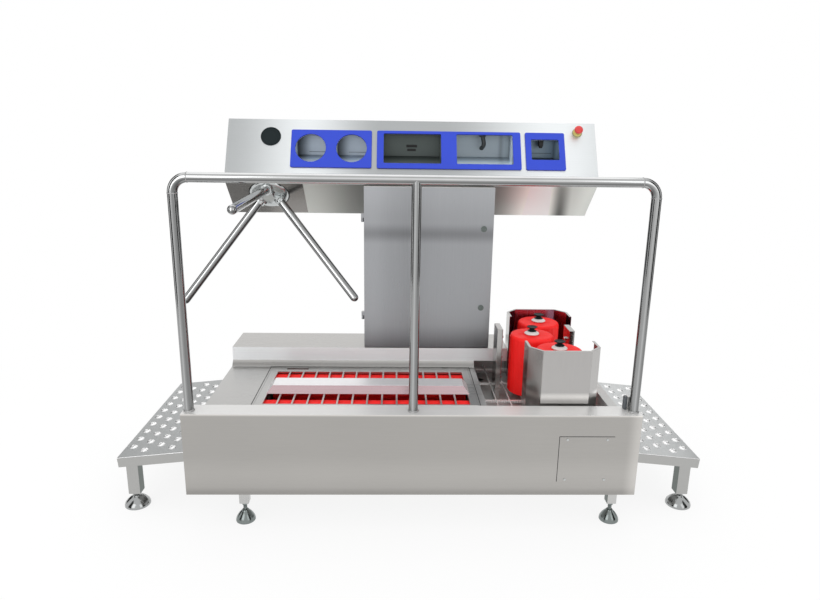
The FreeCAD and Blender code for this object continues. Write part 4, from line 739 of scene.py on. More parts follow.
@dataclass
class SheetWork:
    """The folded sheets of the tub, deck, plinth, console and cabinet."""

    shop: Shop
    seam_level: float = 0.5152
    seam_width: float = 0.0034
    seam_gap: float = 0.0006
    screw_columns: int = 8
    screw_inset: float = 0.022
    edges: dict[str, tuple[float, str]] = field(default_factory=lambda: {
        "front_panel": (0.0022, "front_wall_steel"), "access_panel": (0.0005, "front_wall_steel"),
        "rear_plinth": (0.0025, "plinth_steel"), "centre_hood": (0.0012, "hood_steel"),
        "sole_grating": (0.0010, "deck_steel"),
        "tub_shell": (0.002, "frame_steel"), "tub_legs": (0.003, "frame_steel"),
        "step_frame_left": (0.002, "step_steel"), "step_frame_right": (0.002, "step_steel"),
        "cabinet_body": (0.0015, "cabinet_steel"), "cabinet_door": (0.0018, "cabinet_steel"),
        "console_shell": (0.0018, "console_steel"), "turnstile_cover": (0.0006, "cover_steel"),
        "front_guard": (0.0008, "guard_steel"), "rear_guard": (0.0008, "guard_steel"),
        "spray_posts": (0.003, "guard_steel"), "console_back": (0.0005, "console_steel"),
    })
    # painted light, shade and reflections: faces that lean one way take a lighter, darker or tinted copy of their
    # finish
    painted_by_facing: dict[str, tuple[str, Point, float]] = field(default_factory=lambda: {
        "console_shell": ("underside_shade_reflection_steel", (0.0, -0.7071, -0.7071), 0.95),
        "centre_hood": ("hood_side_reflection_steel", (0.0, -1.0, 0.0), 0.30),
        "rear_plinth": ("plinth_face_lit_steel", (0.0, -1.0, 0.0), 0.80),
        "rear_guard": ("guard_inner_reflection_steel", (0.0, -1.0, 0.0), 0.30),
        "front_panel": ("top_lit_steel", (0.0, 0.0, 1.0), 0.90),
        "cabinet_door": ("top_lit_steel", (0.0, 0.0, 1.0), 0.30),
        "cabinet_body": ("top_lit_steel", (0.0, 0.0, 1.0), 0.30),
        "tub_legs": ("step_shade_steel", (-1.0, 0.0, 0.0), 0.70),
        "step_frame_left": ("step_shade_steel", (1.0, 0.0, 0.0), 0.70),
        "step_frame_right": ("step_shade_steel", (-1.0, 0.0, 0.0), 0.70),
    })

    def grating_seam(self) -> None:
        """The dark joint that shows on the deck round the lift-out grating."""
        low, high = corners("sole_grating")
        width, gap, level = self.seam_width, self.seam_gap, self.seam_level
        sides = [("left", (low.x - width, low.y), (low.x - gap, high.y)),
                 ("right", (high.x + gap, low.y), (high.x + width, high.y)),
                 ("back", (low.x - width, high.y + gap), (high.x + width, high.y + width))]
        strips = [slab(f"seam_{side}", (*first, level), (*last, level + 0.0006), 0.0002, 1)
                  for side, first, last in sides]
        self.shop.deliver(joined("grating_seam", strips), "black_plastic", "hole_shade")

    def back_screws(self) -> None:
        """Cap screws round the console's rear cover and their pressed rims."""
        low, high = corners("console_back")
        inset = self.screw_inset
        screws = []
        for number in range(self.screw_columns):
            across = low.x + inset + (high.x - low.x - 2 * inset) * number / (self.screw_columns - 1)
            for height in (low.z + inset, high.z - inset):
                screws.append(turned("back_screw", mm(
                    (0, -1), (10, -1), (10, 0.4), (7.2, 0.9), (6, 0.9), (6, 2.6), (5.2, 3.4), (3, 3.6),
                    (2.6, 1.6), (0, 1.4)), 24, (across, high.y, height), (0.0, 1.0, 0.0)))
        self.shop.deliver(joined("console_back_screws", screws), "polished", "turned_steel")

    def build(self) -> None:
        """Ease the edges of every sheet."""
        for node, (width, finish) in self.edges.items():
            piece = self.shop.eased(node, width, finish)
            if node in self.painted_by_facing:
                self.shop.tone(piece, *self.painted_by_facing[node])
        self.grating_seam()
        self.back_screws()
        self.shop.finishes.on_node("deck_plate", "deck_steel")


@dataclass
class Tubing:
    """Chrome tube of the handrail, with its welds."""

    shop: Shop
    radius: float = 0.019
    depth: float = -0.46
    half_span: float = 0.905
    top: float = 1.442
    bend: float = 0.058
    deck: float = 0.517
    foot_bead: float = 0.0045
    seam_bead: float = 0.0022
    ripples: int = 26

    def weld(self, name: str, centre: Place, axis: Place, bead: float) -> Piece:
        """A rippled weld bead round the tube.

        Args:
            name: The bead's name.
            centre: The middle of the bead.
            axis: The tube's direction there.
            bead: The bead's half thickness.

        Returns:
            The bead.
        """
        low = self.radius - 0.0004
        profile = [(low, -bead), (low + 0.5 * bead, -0.7 * bead), (low + 0.8 * bead, 0.0),
                   (low + 0.5 * bead, 0.7 * bead), (low, bead)]
        piece = turned(name, profile, 2 * self.ripples)
        for vertex in piece.data.vertices:
            angle = math.atan2(vertex.co.y, vertex.co.x)
            lift = 0.12 * bead * math.cos(self.ripples * angle)
            vertex.co.xy *= 1.0 + lift / self.radius
        return settle(piece, towards(centre, axis), 50.0)

    def build(self) -> None:
        """Dress the tube and add its beads."""
        for node in ("handrail", "handrail_post"):
            self.shop.finishes.on_node(node, "tube_steel")
        beads = []
        for side in (-1, 1):
            post = side * self.half_span
            inner = post - side * self.bend
            beads += [
                self.weld(f"bead_{side}_foot", (post, self.depth, self.deck), UP, self.foot_bead),
                self.weld(f"bead_{side}_low", (post, self.depth, self.top - self.bend), UP, self.seam_bead),
                self.weld(f"bead_{side}_high", (inner, self.depth, self.top), RIGHT, self.seam_bead)]
        beads.append(self.weld("bead_middle", (0.0, self.depth, self.deck), UP, self.foot_bead))
        self.shop.deliver(joined("handrail_welds", beads), "polished", "weld_steel")


@dataclass
class BristleRoll:
    """A bristle cylinder with rows of tufts that wind round it a number of turns.

    The rim is the rounding of its free end, and the rings are the steps along its side.
    """

    shop: Shop
    node: str
    centre: Point
    axis: Point
    radius: float
    core: float
    length: float
    rows: int
    turns: float
    rim: float
    rings: int
    seed: int
    groove: float = 0.0016
    start: float = 0.004
    tip_spread: float = 0.0012
    end_spread: float = 0.0015

    def profile(self) -> list[tuple[float, float]]:
        """The roll's outline: both ends, the rim and the side in many rings."""
        side_top = self.length - self.rim
        points = [(self.core, 0.0), (0.5 * (self.core + self.radius), 0.0),
                  (self.radius - 0.003, 0.0), (self.radius, self.start)]
        points += [(self.radius, self.start + (side_top - self.start) * ring / self.rings)
                   for ring in range(1, self.rings + 1)]
        for part in range(1, 6):
            angle = math.pi / 2 * part / 5
            inwards = self.rim * (1 - math.cos(angle))
            points.append((self.radius - inwards, side_top + self.rim * math.sin(angle)))
        flat = self.radius - self.rim - self.core
        points += [(self.core + flat * part, self.length) for part in (0.75, 0.5, 0.25, 0.0)]
        return points

    def build(self) -> None:
        """Turn the roll, wind its tufts and deliver it."""
        chance = random.Random(self.seed)
        roll = turned(self.node + "_tufts", self.profile(), self.rows * 6)
        for vertex in roll.data.vertices:
            reach = math.hypot(vertex.co.x, vertex.co.y)
            if reach > self.core + 0.001:
                angle = math.atan2(vertex.co.y, vertex.co.x)
                winding = 2 * math.pi * self.turns * vertex.co.z / self.length
                wave = 0.5 - 0.5 * math.cos(self.rows * angle + winding)
                drop = self.groove * (1.0 - wave) ** 2 + chance.uniform(0.0, self.tip_spread)
                vertex.co.xy *= 1.0 - drop / reach
                if vertex.co.z > self.length - 0.001:
                    vertex.co.z -= chance.uniform(0.0, self.end_spread)
        settle(roll, towards(self.centre, self.axis), 60.0)
        self.shop.deliver(roll, "red_bristle", "red_bristle", body=BODY_OF[self.node],
                          stands_for=[self.node])


@dataclass
class Brushes:
    """The three upright brushes with washers and hand nuts, and the two lying brushes."""

    shop: Shop
    bottom: float = 0.448
    top: float = 0.722
    radius: float = 0.1
    spindle: float = 0.01
    sole_radius: float = 0.071
    sole_core: float = 0.011
    washer_height: float = 0.014
    nut_lobes: int = 6
    nut_neck: float = 0.011
    nut_flare: float = 0.012

    def spindle_set(self, place: str, centre: Point) -> None:
        """Washer, hand nut and shaft over one upright brush."""
        body = f"{place}_boot_brush"
        across, along = centre[:2]
        washer = turned(f"brush_washer_{place}", mm(
            (10.5, 0.2), (30, 0.2), (33, 1.5), (34, 4), (32.5, 6.5), (28, 9), (22, 12.5), (18, 14),
            (10.5, 14)), 48, (across, along, self.top))
        self.shop.deliver(washer, "white_plastic", "washer_nylon", body=body)
        nut = turned(f"brush_nut_{place}", mm(
            (0, 0.5), (19.5, 0.5), (20.8, 1.6), (19.5, 3.4), (13, 6.6), (11.2, 9.5), (13, 13), (21.5, 17),
            (25, 19.2), (25, 21.2), (22.8, 21.9), (16, 20), (0, 19.2)), 48)
        for vertex in nut.data.vertices:
            lift = max(0.0, (vertex.co.z - self.nut_neck) / self.nut_flare)
            angle = math.atan2(vertex.co.y, vertex.co.x)
            vertex.co.xy *= 1.0 - 0.13 * lift * (0.5 - 0.5 * math.cos(self.nut_lobes * angle))
        settle(nut, Matrix.Translation((across, along, self.top + self.washer_height)), 40.0)
        self.shop.deliver(nut, "black_plastic", "reader_black", body=body)
        end = self.top + self.washer_height - 0.001
        shaft = turned(f"brush_spindle_{place}", [
            (0.0, 0.3455), (0.009, 0.3455), (0.01, 0.3465), (0.01, 0.430), (0.0135, 0.431),
            (0.0135, self.bottom - 0.002), (0.01, self.bottom), (0.01, end), (0.0, end)],
            32, (across, along, 0.0))
        self.shop.deliver(shaft, "black_plastic", "turned_steel", body=body,
                          stands_for=[f"side_spindle_{place}"])

    def build(self) -> None:
        """Build every brush."""
        for number, place in enumerate(("front", "middle", "rear")):
            here = JOINTS[f"{place}_boot_brush_spin"]["pos_m"]
            BristleRoll(self.shop, f"side_brush_{place}", (here[0], here[1], self.bottom), tuple(UP),
                        self.radius, core=self.spindle + 0.001, length=self.top - self.bottom,
                        rows=26, turns=0.6, rim=0.015, rings=56, seed=11 + number).build()
            self.spindle_set(place, here)
        for number, place in enumerate(("front", "rear")):
            low, high = corners(f"sole_brush_{place}")
            middle = (low + high) / 2
            BristleRoll(self.shop, f"sole_brush_{place}", (low.x, middle.y, middle.z), tuple(RIGHT),
                        self.sole_radius, core=self.sole_core, length=high.x - low.x,
                        rows=16, turns=5.0, rim=0.004, rings=150, seed=31 + number).build()


@dataclass
class Treads:
    """Raised, holed dimples on both approach steps."""

    shop: Shop
    columns: tuple[float, ...] = (1.231, 1.170, 1.109, 1.048, 0.987, 0.926)
    pitch: float = 0.078
    first: tuple[float, float] = (-0.256, -0.295)
    last: float = 0.478
    edge_x: float = 1.268
    edge_z: float = 0.242
    edge_ease: float = 0.0028
    rise: float = 0.1

    def dimple(self) -> Piece:
        """One dimple at the origin, holed in the middle."""
        return turned("dimple", mm(
            (17.6, -0.4), (16.6, 1), (14, 3.6), (11.2, 5.8), (8.8, 6.6), (6.8, 6), (6, 4), (5.6, 1),
            (0, 0.8)), 14, smooth=60.0)

    def build(self) -> None:
        """Place the dimples on the sloping treads."""
        tilt = math.atan(self.rise)
        for name, side in (("left", -1), ("right", 1)):
            # painted highlight on the tread's edges, while its top faces take the tread finish
            tread = self.shop.eased(f"tread_{name}", self.edge_ease, "painted_highlight_steel", "tread")
            self.shop.tone(tread, "tread_steel", UP, 0.97)
            model = self.dimple()
            model.data.transform(Matrix.Rotation(side * tilt, 4, "Y"))
            twins = []
            for number, column in enumerate(self.columns):
                along = self.first[number % 2]
                while along <= self.last:
                    height = self.edge_z + (self.edge_x - column) * self.rise
                    twins.append(copied(model, Matrix.Translation((side * column, along, height))))
                    along += self.pitch
            bpy.data.objects.remove(model)
            dimples = joined(f"tread_dimples_{name}", twins)
            # painted highlight on the raised dimples, painted shade down in their holes
            self.shop.deliver(dimples, "tread", "painted_highlight_steel", "hole_shade")
            # only the faces down in a dimple's hole have three sides
            for face in dimples.data.polygons:
                face.material_index = int(len(face.vertices) == 3)


@dataclass
class Feet:
    """Polished levelling feet with their studs and lock nuts.

    A size gives the pad, neck, rim, cone and top, as the method for one foot explains them.
    """

    shop: Shop
    tub_size: tuple[float, ...] = (0.041, 0.013, 0.008, 0.050, 0.085)
    tub_places: tuple[tuple[float, float], ...] = (
        (-0.708, -0.435), (0.856, -0.435), (-0.708, 0.230), (0.836, 0.230))
    step_size: tuple[float, ...] = (0.054, 0.016, 0.010, 0.048, 0.064)
    step_places: tuple[tuple[float, float], ...] = (
        (-1.211, -0.3165), (-1.211, 0.445), (1.211, -0.3165), (1.211, 0.445))
    thread_pitch: float = 0.002

    def foot(self, centre: Place, pad: float, neck: float, rim: float, cone: float,
             top: float) -> Piece:
        """One levelling foot.

        Args:
            centre: X and Y of the foot.
            pad: Radius on the floor.
            neck: Radius at the top of the cone.
            rim: Height of the rim.
            cone: Height of the cone's top.
            top: Height of the leg's end.

        Returns:
            The foot.
        """
        crown = [(pad - inwards * (pad - neck), rim + upwards * (cone - rim))
                 for inwards, upwards in ((0.06, 0.14), (0.26, 0.40), (0.52, 0.64), (0.78, 0.84))]
        dome = turned("foot_dome", [
            (0.0, 0.0), (pad - 0.0015, 0.0), (pad, 0.0015), (pad, rim - 0.002), (pad - 0.001, rim), *crown,
            (neck + 0.0006, cone - 0.0015), (neck, cone), (0.0, cone)], 56, (*centre, 0.0), smooth=50.0)
        stud = [(0.0, cone - 0.001)]
        height = cone - 0.001
        while height < top - 0.0035:
            stud += [(0.0074, height + 0.0004), (0.0080, height + 0.0010), (0.0074, height + 0.0016)]
            height += self.thread_pitch
        stud += [(0.0076, top), (0.0, top)]
        thread = turned("foot_stud", stud, 24, (*centre, 0.0))
        nut = turned("foot_nut", mm(
            (7.8, -9.5), (13.5, -9.5), (14.8, -8), (14.8, -2), (13.5, -0.5), (7.8, -0.5)),
            6, (*centre, top), smooth=20.0)
        return joined("foot", [dome, thread, nut])

    def build(self) -> None:
        """Set all the feet."""
        feet = [self.foot(place, *self.tub_size) for place in self.tub_places]
        feet += [self.foot(place, *self.step_size) for place in self.step_places]
        piece = joined("levelling_feet_turned", feet)
        self.shop.deliver(piece, "polished", "shaded_foot_steel", "pad_steel",
                          stands_for=["levelling_feet"])
        # painted shade: the feet under the tub take the darker finish, those under the steps the lighter one
        for face in piece.data.polygons:
            face.material_index = int(abs(face.center.x) > 1.0)


@dataclass
class ConsoleFittings:
    """Blue frames, niches, outlets, reader and emergency stop on the sloping face."""

    shop: Shop
    nose: Point = (0.0, 0.098, 1.400)
    crest: Point = (0.0, 0.244, 1.666)
    frame_edge: float = 0.0034
    facing: float = 0.96
    reader_place: tuple[float, float] = (-0.657, 0.2145)
    stop_place: tuple[float, float] = (0.771, 0.253)
    seam_runs: tuple[tuple[float, float, float], ...] = (
        (-0.492, -0.402, 1.5185), (-0.304, -0.214, 1.5185), (0.566, 0.670, 1.5250))
    niche_back: float = 0.2853
    vent_slots: tuple[tuple[str, Point, Point], ...] = (
        ("vent_upper", (-0.028, 0.2822, 1.5455), (0.023, 0.2852, 1.5575)),
        ("vent_lower", (-0.024, 0.2822, 1.5285), (0.017, 0.2852, 1.5390)))
    spout_place: tuple[float, float] = (0.328, 0.225)

    def __post_init__(self) -> None:
        """Work out the face's directions."""
        self.rise = (Vector(self.crest) - Vector(self.nose)).normalized()
        self.out = RIGHT.cross(self.rise)
        if self.out.y > 0:
            self.out.negate()

    def spot(self, across: float, rise: float) -> Vector:
        """A point on the face by X and the run up from the nose."""
        return Vector((across, self.nose[1], self.nose[2])) + self.rise * rise

    def frames(self) -> None:
        """The three blue frames, with painted shade on their eased edges, and the niches behind them."""
        for place in ("left", "middle", "right"):
            bezel = self.shop.eased(f"bezel_{place}", self.frame_edge, "blue_edge_shade", "blue_frame", 3)
            self.shop.tone(bezel, "blue_frame", self.out, self.facing)
        for node, finish in (("hand_chambers", "hand_niche_steel"), ("wash_basin", "basin_steel"),
                             ("dryer_chamber", "dryer_niche_shade_steel"), ("soap_chamber", "soap_niche_steel")):
            self.shop.finishes.on_node(node, finish)
        seams = [slab("seam", (left, self.niche_back - 0.0015, up), (right, self.niche_back, up + 0.0018),
                      0.0003, 1) for left, right, up in self.seam_runs]
        self.shop.deliver(joined("niche_seams", seams), "black_plastic", "hole_shade")

    def reader(self) -> None:
        """The black round reader with its rim and raised ring."""
        disc = turned("reader_face", mm(
            (0, 2.6), (30, 2.6), (30.5, 3.2), (38.5, 3.2), (39, 2.6), (41, 2.6), (41.5, 3.8), (45.1, 4),
            (46.3, 2.8), (46.3, 0), (0, 0)), 72, self.spot(*self.reader_place), self.out)
        self.shop.deliver(disc, "black_plastic", "reader_black", stands_for=["reader_disc"])

    def stop(self) -> None:
        """The emergency stop: grey base, yellow collar and red head."""
        here = self.spot(*self.stop_place)
        base = turned("stop_base_ring", mm(
            (8.8, 0), (23, 0), (23, 3.5), (21.5, 5.5), (20, 6), (8.8, 6)), 56, here, self.out)
        self.shop.deliver(base, "grey_plastic", "grey_ring")
        collar = turned("stop_yellow_collar", mm(
            (8.8, 6), (19.8, 6), (20, 7), (19, 15.5), (17.8, 17.6), (16, 18), (12.5, 17), (11.5, 14),
            (8.8, 14)), 56, here, self.out)
        self.shop.deliver(collar, "yellow_plastic", "yellow_ring", stands_for=["stop_collar"])
        head = turned("stop_mushroom", mm(
            (0, 2.2), (7.8, 2.2), (7.8, 23.5), (11, 26.2), (17.5, 26.6), (19.6, 28), (20, 30.5),
            (19.7, 33.5), (18, 36.8), (15, 39.2), (10.5, 40.5), (5.5, 40.9), (0, 41)),
            56, here, self.out, smooth=50.0)
        self.shop.deliver(head, "red_plastic", "red_head", body="stop_button", stands_for=["stop_head"])

    def outlets(self) -> None:
        """Hooked spout, dryer vent and soap nozzle."""
        top = corners("wash_basin")[1].z - 0.0015
        across, depth = self.spout_place
        hook = bent_bar("spout_hook", [
            (across, depth, top), (across + 0.004, depth, top - 0.019),
            (across + 0.008, depth - 0.002, top - 0.036), (across + 0.003, depth - 0.008, top - 0.052),
            (across - 0.004, depth - 0.0155, top - 0.0565)], 0.0100)
        flange = turned("spout_flange", mm(
            (0, -6), (14, -6), (16, -4.5), (16.5, 0), (0, 0)), 36, (across, depth, top))
        tip = turned("spout_tip", mm(
            (0, -1), (8, -1), (10.5, 0), (10.5, 4.5), (8.2, 5), (7.6, 3), (0, 3)),
            32, (across - 0.004, depth - 0.0125, top - 0.0560), (-0.2, -0.8, -0.6))
        spout = joined("basin_spout", [hook, flange, tip])
        vent = joined("dryer_vent", [slab(*slot, edge=0.0010) for slot in self.vent_slots])
        soap_top = corners("soap_chamber")[1].z - 0.0015
        soap = joined("soap_outlet", [
            slab("soap_body", (0.5965, 0.2255, soap_top - 0.0270), (0.6175, 0.2545, soap_top), 0.002),
            turned("soap_tip", mm((0, -35.8), (6, -35.8), (7.5, -34.5), (10, -26), (0, -26)),
                   24, (0.607, 0.2360, soap_top))])
        for piece in (vent, soap):
            self.shop.deliver(piece, "black_plastic", "hole_shade")
        self.shop.deliver(spout, "black_plastic", "black_gloss", stands_for=["water_outlets"])

    def build(self) -> None:
        """Build everything on the face."""
        self.frames()
        self.reader()
        self.stop()
        self.outlets()


@dataclass
class Turnstile:
    """Rotor disc with three clevis blocks and its arms, and the housing over it.

    The arms lie on a cone round the axis. The cone's angle and the first arm's phase are in degrees.
    """

    shop: Shop
    cone: float = 43.9
    phase: float = 2.4

    def __post_init__(self) -> None:
        """Take the apex and the axis from the joint."""
        joint = JOINTS["turnstile_spin"]
        self.apex = Vector(joint["pos_m"])
        self.axis = Vector(joint["axis"]).normalized()
        if self.axis.z > 0:
            self.axis.negate()

    def arm_way(self, index: int) -> Vector:
        """The direction of an arm."""
        forward = self.axis.cross(RIGHT)
        turn = math.radians(self.phase + 90 + 120 * index)
        tilt = math.radians(self.cone)
        across = RIGHT * math.cos(turn) + forward * math.sin(turn)
        return self.axis * math.cos(tilt) + across * math.sin(tilt)

    def clevis(self, index: int) -> Piece:
        """The block that holds an arm's root, with its pin and bolt heads."""
        way = self.arm_way(index)
        side = way.cross(self.axis).normalized()
        lift = side.cross(way)
        block = slab("clevis_block", (-0.0245, -0.0250, 0.034), (0.0245, 0.0250, 0.078), 0.0045)
        collar = turned("clevis_collar", mm(
            (19.5, 70), (25.5, 70), (26, 71.5), (26, 88.5), (24.5, 91.5), (19.5, 92)), 40)
        heads = [turned("bolt_head", mm((0, 0), (9, 0), (10, 1), (10, 5), (8.8, 6.2), (0, 6.2)),
                        6, (end * 0.0240, 0.0, 0.056), (end, 0.0, 0.0), smooth=20.0) for end in (-1, 1)]
        whole = joined("clevis", [block, collar, *heads])
        turn = Matrix((side, lift, way)).transposed().to_4x4()
        whole.data.transform(Matrix.Translation(self.apex) @ turn)
        return whole

    def build(self) -> None:
        """Build the rotor and dress its housing."""
        disc = turned("rotor_disc", mm(
            (0, -66), (13.5, -66), (15, -64.5), (15, -14.5), (60, -13.8), (88, -13.8), (91, -11), (91, 37),
            (89.5, 41), (85, 45), (79, 46.5), (45, 47), (0, 47)), 96, self.apex, self.axis)
        boss = turned("rotor_boss", mm((0, 44), (34, 44), (34, 60), (31, 63.5), (0, 64)),
                      6, self.apex, self.axis, smooth=20.0)
        rotor = joined("rotor", [disc, boss, *(self.clevis(index) for index in range(3))])
        self.shop.deliver(rotor, "polished", "turned_steel", body="turnstile_rotor",
                          stands_for=["turnstile_hub"])
        self.shop.finishes.on_node("turnstile_arms", "tube_steel")
        self.shop.finishes.on_node("turnstile_housing", "motor_paint")


@dataclass
class SmallWork:
    """Nozzles, screws, sensor, drain, the service cover's painted shadow line and what is inside the tub and the
    cabinet.
    """

    shop: Shop
    sensor_depth: float = 0.013
    nozzle_rows: tuple[tuple[float, float, float], ...] = ((0.4175, -0.037, 1.0), (0.716, -0.056, -1.0))
    nozzle_heights: tuple[float, ...] = (0.50, 0.60, 0.70)
    seal_shift: float = 0.0022
    lock_edge: float = 0.0030
    drain_ribs: int = 5

    def sensor(self) -> None:
        """The dark sensor beside the right post, with its lens, on a steel plate."""
        low, high = corners("sensor_bracket")
        split = low.x + self.sensor_depth
        housing = slab("sensor_housing", low, (split, high.y, high.z), 0.0025)
        plate = slab("sensor_plate", (split, low.y, low.z), high, 0.0020)
        middle = (low + high) / 2
        lens = turned("sensor_lens", mm(
            (0, -0.2), (5.5, -0.2), (5.5, -1.2), (7.2, -1.2), (7.2, 1), (0, 1)),
            28, (low.x + 0.0012, middle.y, middle.z), (-1.0, 0.0, 0.0))
        piece = joined("sensor_body", [housing, lens, plate])
        self.shop.deliver(piece, "black_plastic", "drive_grey", "frame_steel",
                          stands_for=["sensor_bracket"])
        for face in piece.data.polygons:
            face.material_index = int(face.center.x > split)

    def spray_nozzles(self) -> None:
        """Flat-fan nozzles on the spray posts, towards the brushes."""
        nozzles = []
        for across, along, way in self.nozzle_rows:
            for height in self.nozzle_heights:
                nozzles.append(turned("nozzle", mm(
                    (0, -1), (8.5, -1), (8.5, 4), (6.5, 5.5), (6, 9.5), (4.5, 11), (0, 11)),
                    24, (across, along, height), (way, 0.0, 0.0)))
        self.shop.deliver(joined("spray_nozzles", nozzles), "polished", "turned_steel")

    def cover_shadow_line(self) -> None:
        """The service cover's painted shadow, a thin dark line at its left and top, and its screws."""
        low, high = corners("access_panel")
        shift = self.seal_shift
        # painted shadow: a dark strip shifted up and left so that it shows only at the cover's left and top
        shadow_strip = slab("access_shadow_line", (low.x - shift, -0.5004, low.z + shift),
                    (high.x - shift, -0.4999, high.z + shift), 0.0002, 1)
        self.shop.deliver(shadow_strip, "black_plastic", "shadow_black")
        self.shop.eased("access_screws", 0.0006, "turned_steel", "polished")

    def locks(self) -> None:
        """The two quarter-turn locks, with painted shade on their front faces."""
        for place in ("lower", "upper"):
            lock = self.shop.eased(f"door_lock_{place}", self.lock_edge, "turned_steel", "polished")
            self.shop.tone(lock, "step_shade_steel", (0.0, -1.0, 0.0), 0.98)

    def drain(self) -> None:
        """The drain spigot with its ribs, and a rim."""
        low, high = corners("drain_outlet")
        outline = [(21.2, 160), (21.2, 121), (22, 120.2), (24, 120.2), (24.8, 121.5)]
        for rib in range(self.drain_ribs):
            height = 124.5 + 5.5 * rib
            outline += [(24, height), (24.9, height + 1.5), (24.9, height + 3), (24, height + 4.5)]
        outline += [(24.9, 156), (24.9, 160), (21.2, 160)]
        middle = (low + high) / 2
        spigot = turned("drain_spigot", mm(*outline), 48, (middle.x, middle.y, 0.0))
        self.shop.deliver(spigot, "brushed", "turned_steel", stands_for=["drain_outlet"])

    def inside(self) -> None:
        """What the tub, the pit and the cabinet hide."""
        for node, finish in (
                ("sole_shaft_front", "turned_steel"), ("sole_shaft_rear", "turned_steel"),
                ("drive_chain", "turned_steel"), ("roller_bearings", "frame_steel"),
                ("pit_tray", "pit_steel"), ("pit_grate", "rod_steel")):
            self.shop.finishes.on_node(node, finish)
        self.shop.eased("soap_tank", 0.004, "tank_nylon", "white_plastic", 3)
        self.shop.eased("control_plate", 0.002, "gear_grey", "grey_plastic")
        self.shop.eased("roller_gearmotor", 0.005, "motor_paint", "motor_paint", 3)
        self.shop.eased("brush_motors", 0.003, "motor_paint", "motor_paint", 3)

    def build(self) -> None:
        """Build the small work."""
        self.sensor()
        self.spray_nozzles()
        self.cover_shadow_line()
        self.locks()
        self.drain()
        self.inside()


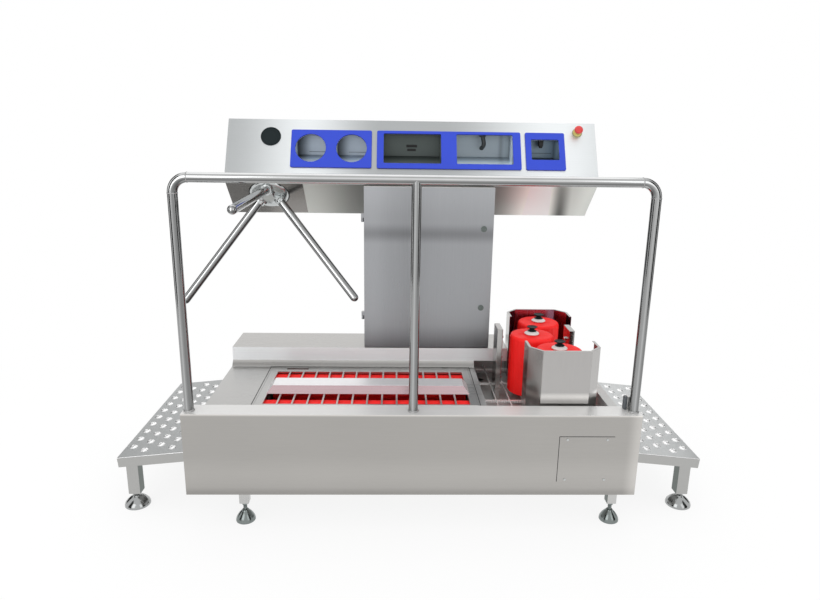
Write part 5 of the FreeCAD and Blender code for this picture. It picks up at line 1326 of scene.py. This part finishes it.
@dataclass
class Studio:
    """Camera, pale floor, dark boards for reflections and soft light."""

    place: Point = (-0.08028, -2.87717, 1.60556)
    yaw: float = 0.0252
    pitch: float = 0.2525
    roll: float = 0.014
    focal: float = 641.83
    width: float = 820.0
    film: float = 36.0
    paper: float = 0.86
    near: float = 1.5
    fade: float = 1.6
    surround: float = 1.0
    floor_size: float = 80.0
    floor_level: float = -0.0005
    aim: Point = (0.0, 0.0, 0.6)
    board_height: float = 5.0
    board_lines: tuple[tuple[str, Point, Point], ...] = (
        ("board_left", (-4.6, 0.6, 0.0), (-3.4, 3.4, 0.0)),
        ("board_right", (4.6, 0.6, 0.0), (3.4, 3.4, 0.0)),
        ("board_front_left", (-4.4, -1.6, 0.0), (-3.6, -3.4, 0.0)),
        ("board_front_right", (4.4, -1.6, 0.0), (3.6, -3.4, 0.0)))
    lamps: tuple[tuple[str, Point, float, float], ...] = (
        ("key", (-3.4, -4.4, 2.9), 4.0, 60.0),
        ("fill", (3.8, -3.8, 2.6), 4.0, 35.0),
        ("top", (0.0, 1.6, 5.4), 5.0, 50.0))

    def camera(self) -> None:
        """Set the camera where the photograph was taken from."""
        across, along = math.sin(self.yaw), math.cos(self.yaw)
        reach, drop = math.cos(self.pitch), math.sin(self.pitch)
        forward = Vector((across * reach, along * reach, -drop))
        level = Vector((along, -across, 0.0))
        above = level.cross(forward)
        right = level * math.cos(self.roll) + above * math.sin(self.roll)
        upper = above * math.cos(self.roll) - level * math.sin(self.roll)
        bpy.ops.object.camera_add()
        camera = bpy.context.object
        camera.name = "camera"
        turn = Matrix((right, upper, -forward)).transposed().to_4x4()
        camera.matrix_world = Matrix.Translation(Vector(self.place)) @ turn
        camera.data.sensor_width = self.film
        camera.data.lens = self.film * self.focal / self.width
        camera.data.clip_end = 100.0
        bpy.context.scene.camera = camera

    def floor(self) -> None:
        """A pale floor that shows as white paper and keeps a soft shadow near the station."""
        let_go()
        bpy.ops.mesh.primitive_plane_add(size=self.floor_size, location=(0.0, 0.0, self.floor_level))
        floor = bpy.context.object
        floor.name = "floor"
        recipe = Recipe("pale_floor", {"Base Color": (0.88, 0.88, 0.88, 1.0), "Roughness": 0.9,
                                       "Specular IOR Level": 0.0})
        rays = [recipe.node("ShaderNodeLightPath", {}, {}, kind)
                for kind in ("Is Camera Ray", "Is Glossy Ray", "Is Transmission Ray")]
        seen = (rays[0] + rays[1] + rays[2]).at_most(1.0)
        away = recipe.node("ShaderNodeVectorMath", {"operation": "LENGTH"}, {0: recipe.place()}, 1)
        share = self.paper + (1.0 - self.paper) * (away - self.near) / self.fade
        share = share.at_least(self.paper).at_most(1.0)
        glow = recipe.node("ShaderNodeEmission", {}, {"Color": (1.0, 1.0, 1.0, 1.0), "Strength": 1.0})
        lit = Signal(recipe, recipe.shader.outputs[0])
        both = recipe.node("ShaderNodeMixShader", {}, {0: seen * share, 1: lit, 2: glow})
        recipe.finish(both)
        floor.data.materials.append(recipe.material)

    def boards(self) -> None:
        """Dark boards beside the set, which only the metal's reflections see."""
        recipe = Recipe("board_black", {"Base Color": (0.02, 0.021, 0.02, 1.0), "Roughness": 0.8,
                                        "Specular IOR Level": 0.0})
        for name, near, far in self.board_lines:
            let_go()
            bpy.ops.mesh.primitive_plane_add(size=1.0)
            board = bpy.context.object
            board.name = name
            with editing(board):
                run = Vector(far) - Vector(near)
                bpy.ops.transform.resize(value=(run.length, self.board_height, 1.0))
                bpy.ops.transform.rotate(value=math.pi / 2, orient_axis="X",
                                         center_override=(0.0, 0.0, 0.0))
            middle = (Vector(near) + Vector(far)) / 2
            turn = Matrix.Rotation(math.atan2(run.y, run.x), 4, "Z")
            settle(board, Matrix.Translation((middle.x, middle.y, self.board_height / 2)) @ turn)
            board.data.materials.append(recipe.material)
            board.visible_camera = False
            board.visible_diffuse = False
            board.visible_shadow = False

    def light(self) -> None:
        """Soft lamps and an even white surround."""
        for name, place, size, power in self.lamps:
            lamp = bpy.data.lights.new(name, "AREA")
            lamp.size = size
            lamp.energy = power
            held = bpy.data.objects.new(name, lamp)
            bpy.context.scene.collection.objects.link(held)
            way = Vector(self.aim) - Vector(place)
            turn = way.to_track_quat("-Z", "Y").to_matrix().to_4x4()
            held.matrix_world = Matrix.Translation(place) @ turn
        world = bpy.data.worlds.new("surround")
        world.use_nodes = True
        bpy.context.scene.world = world
        ground = world.node_tree.nodes["Background"]
        ground.inputs["Color"].default_value = (1.0, 1.0, 1.0, 1.0)
        ground.inputs["Strength"].default_value = self.surround
        bpy.context.scene.view_settings.view_transform = "Standard"

    def build(self) -> None:
        """Set up the studio."""
        self.camera()
        self.floor()
        self.boards()
        self.light()


def main() -> None:
    """Build the looks in order."""
    logging.basicConfig(level=logging.INFO, format="%(message)s")
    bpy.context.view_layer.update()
    Studio().build()
    shop = Shop()
    for assembly in (SheetWork, Tubing, Brushes, Treads, Feet, ConsoleFittings, Turnstile, SmallWork):
        LOG.info("-- %s", assembly.__name__)
        assembly(shop).build()
    let_go()


if __name__ == "__main__":
    main()
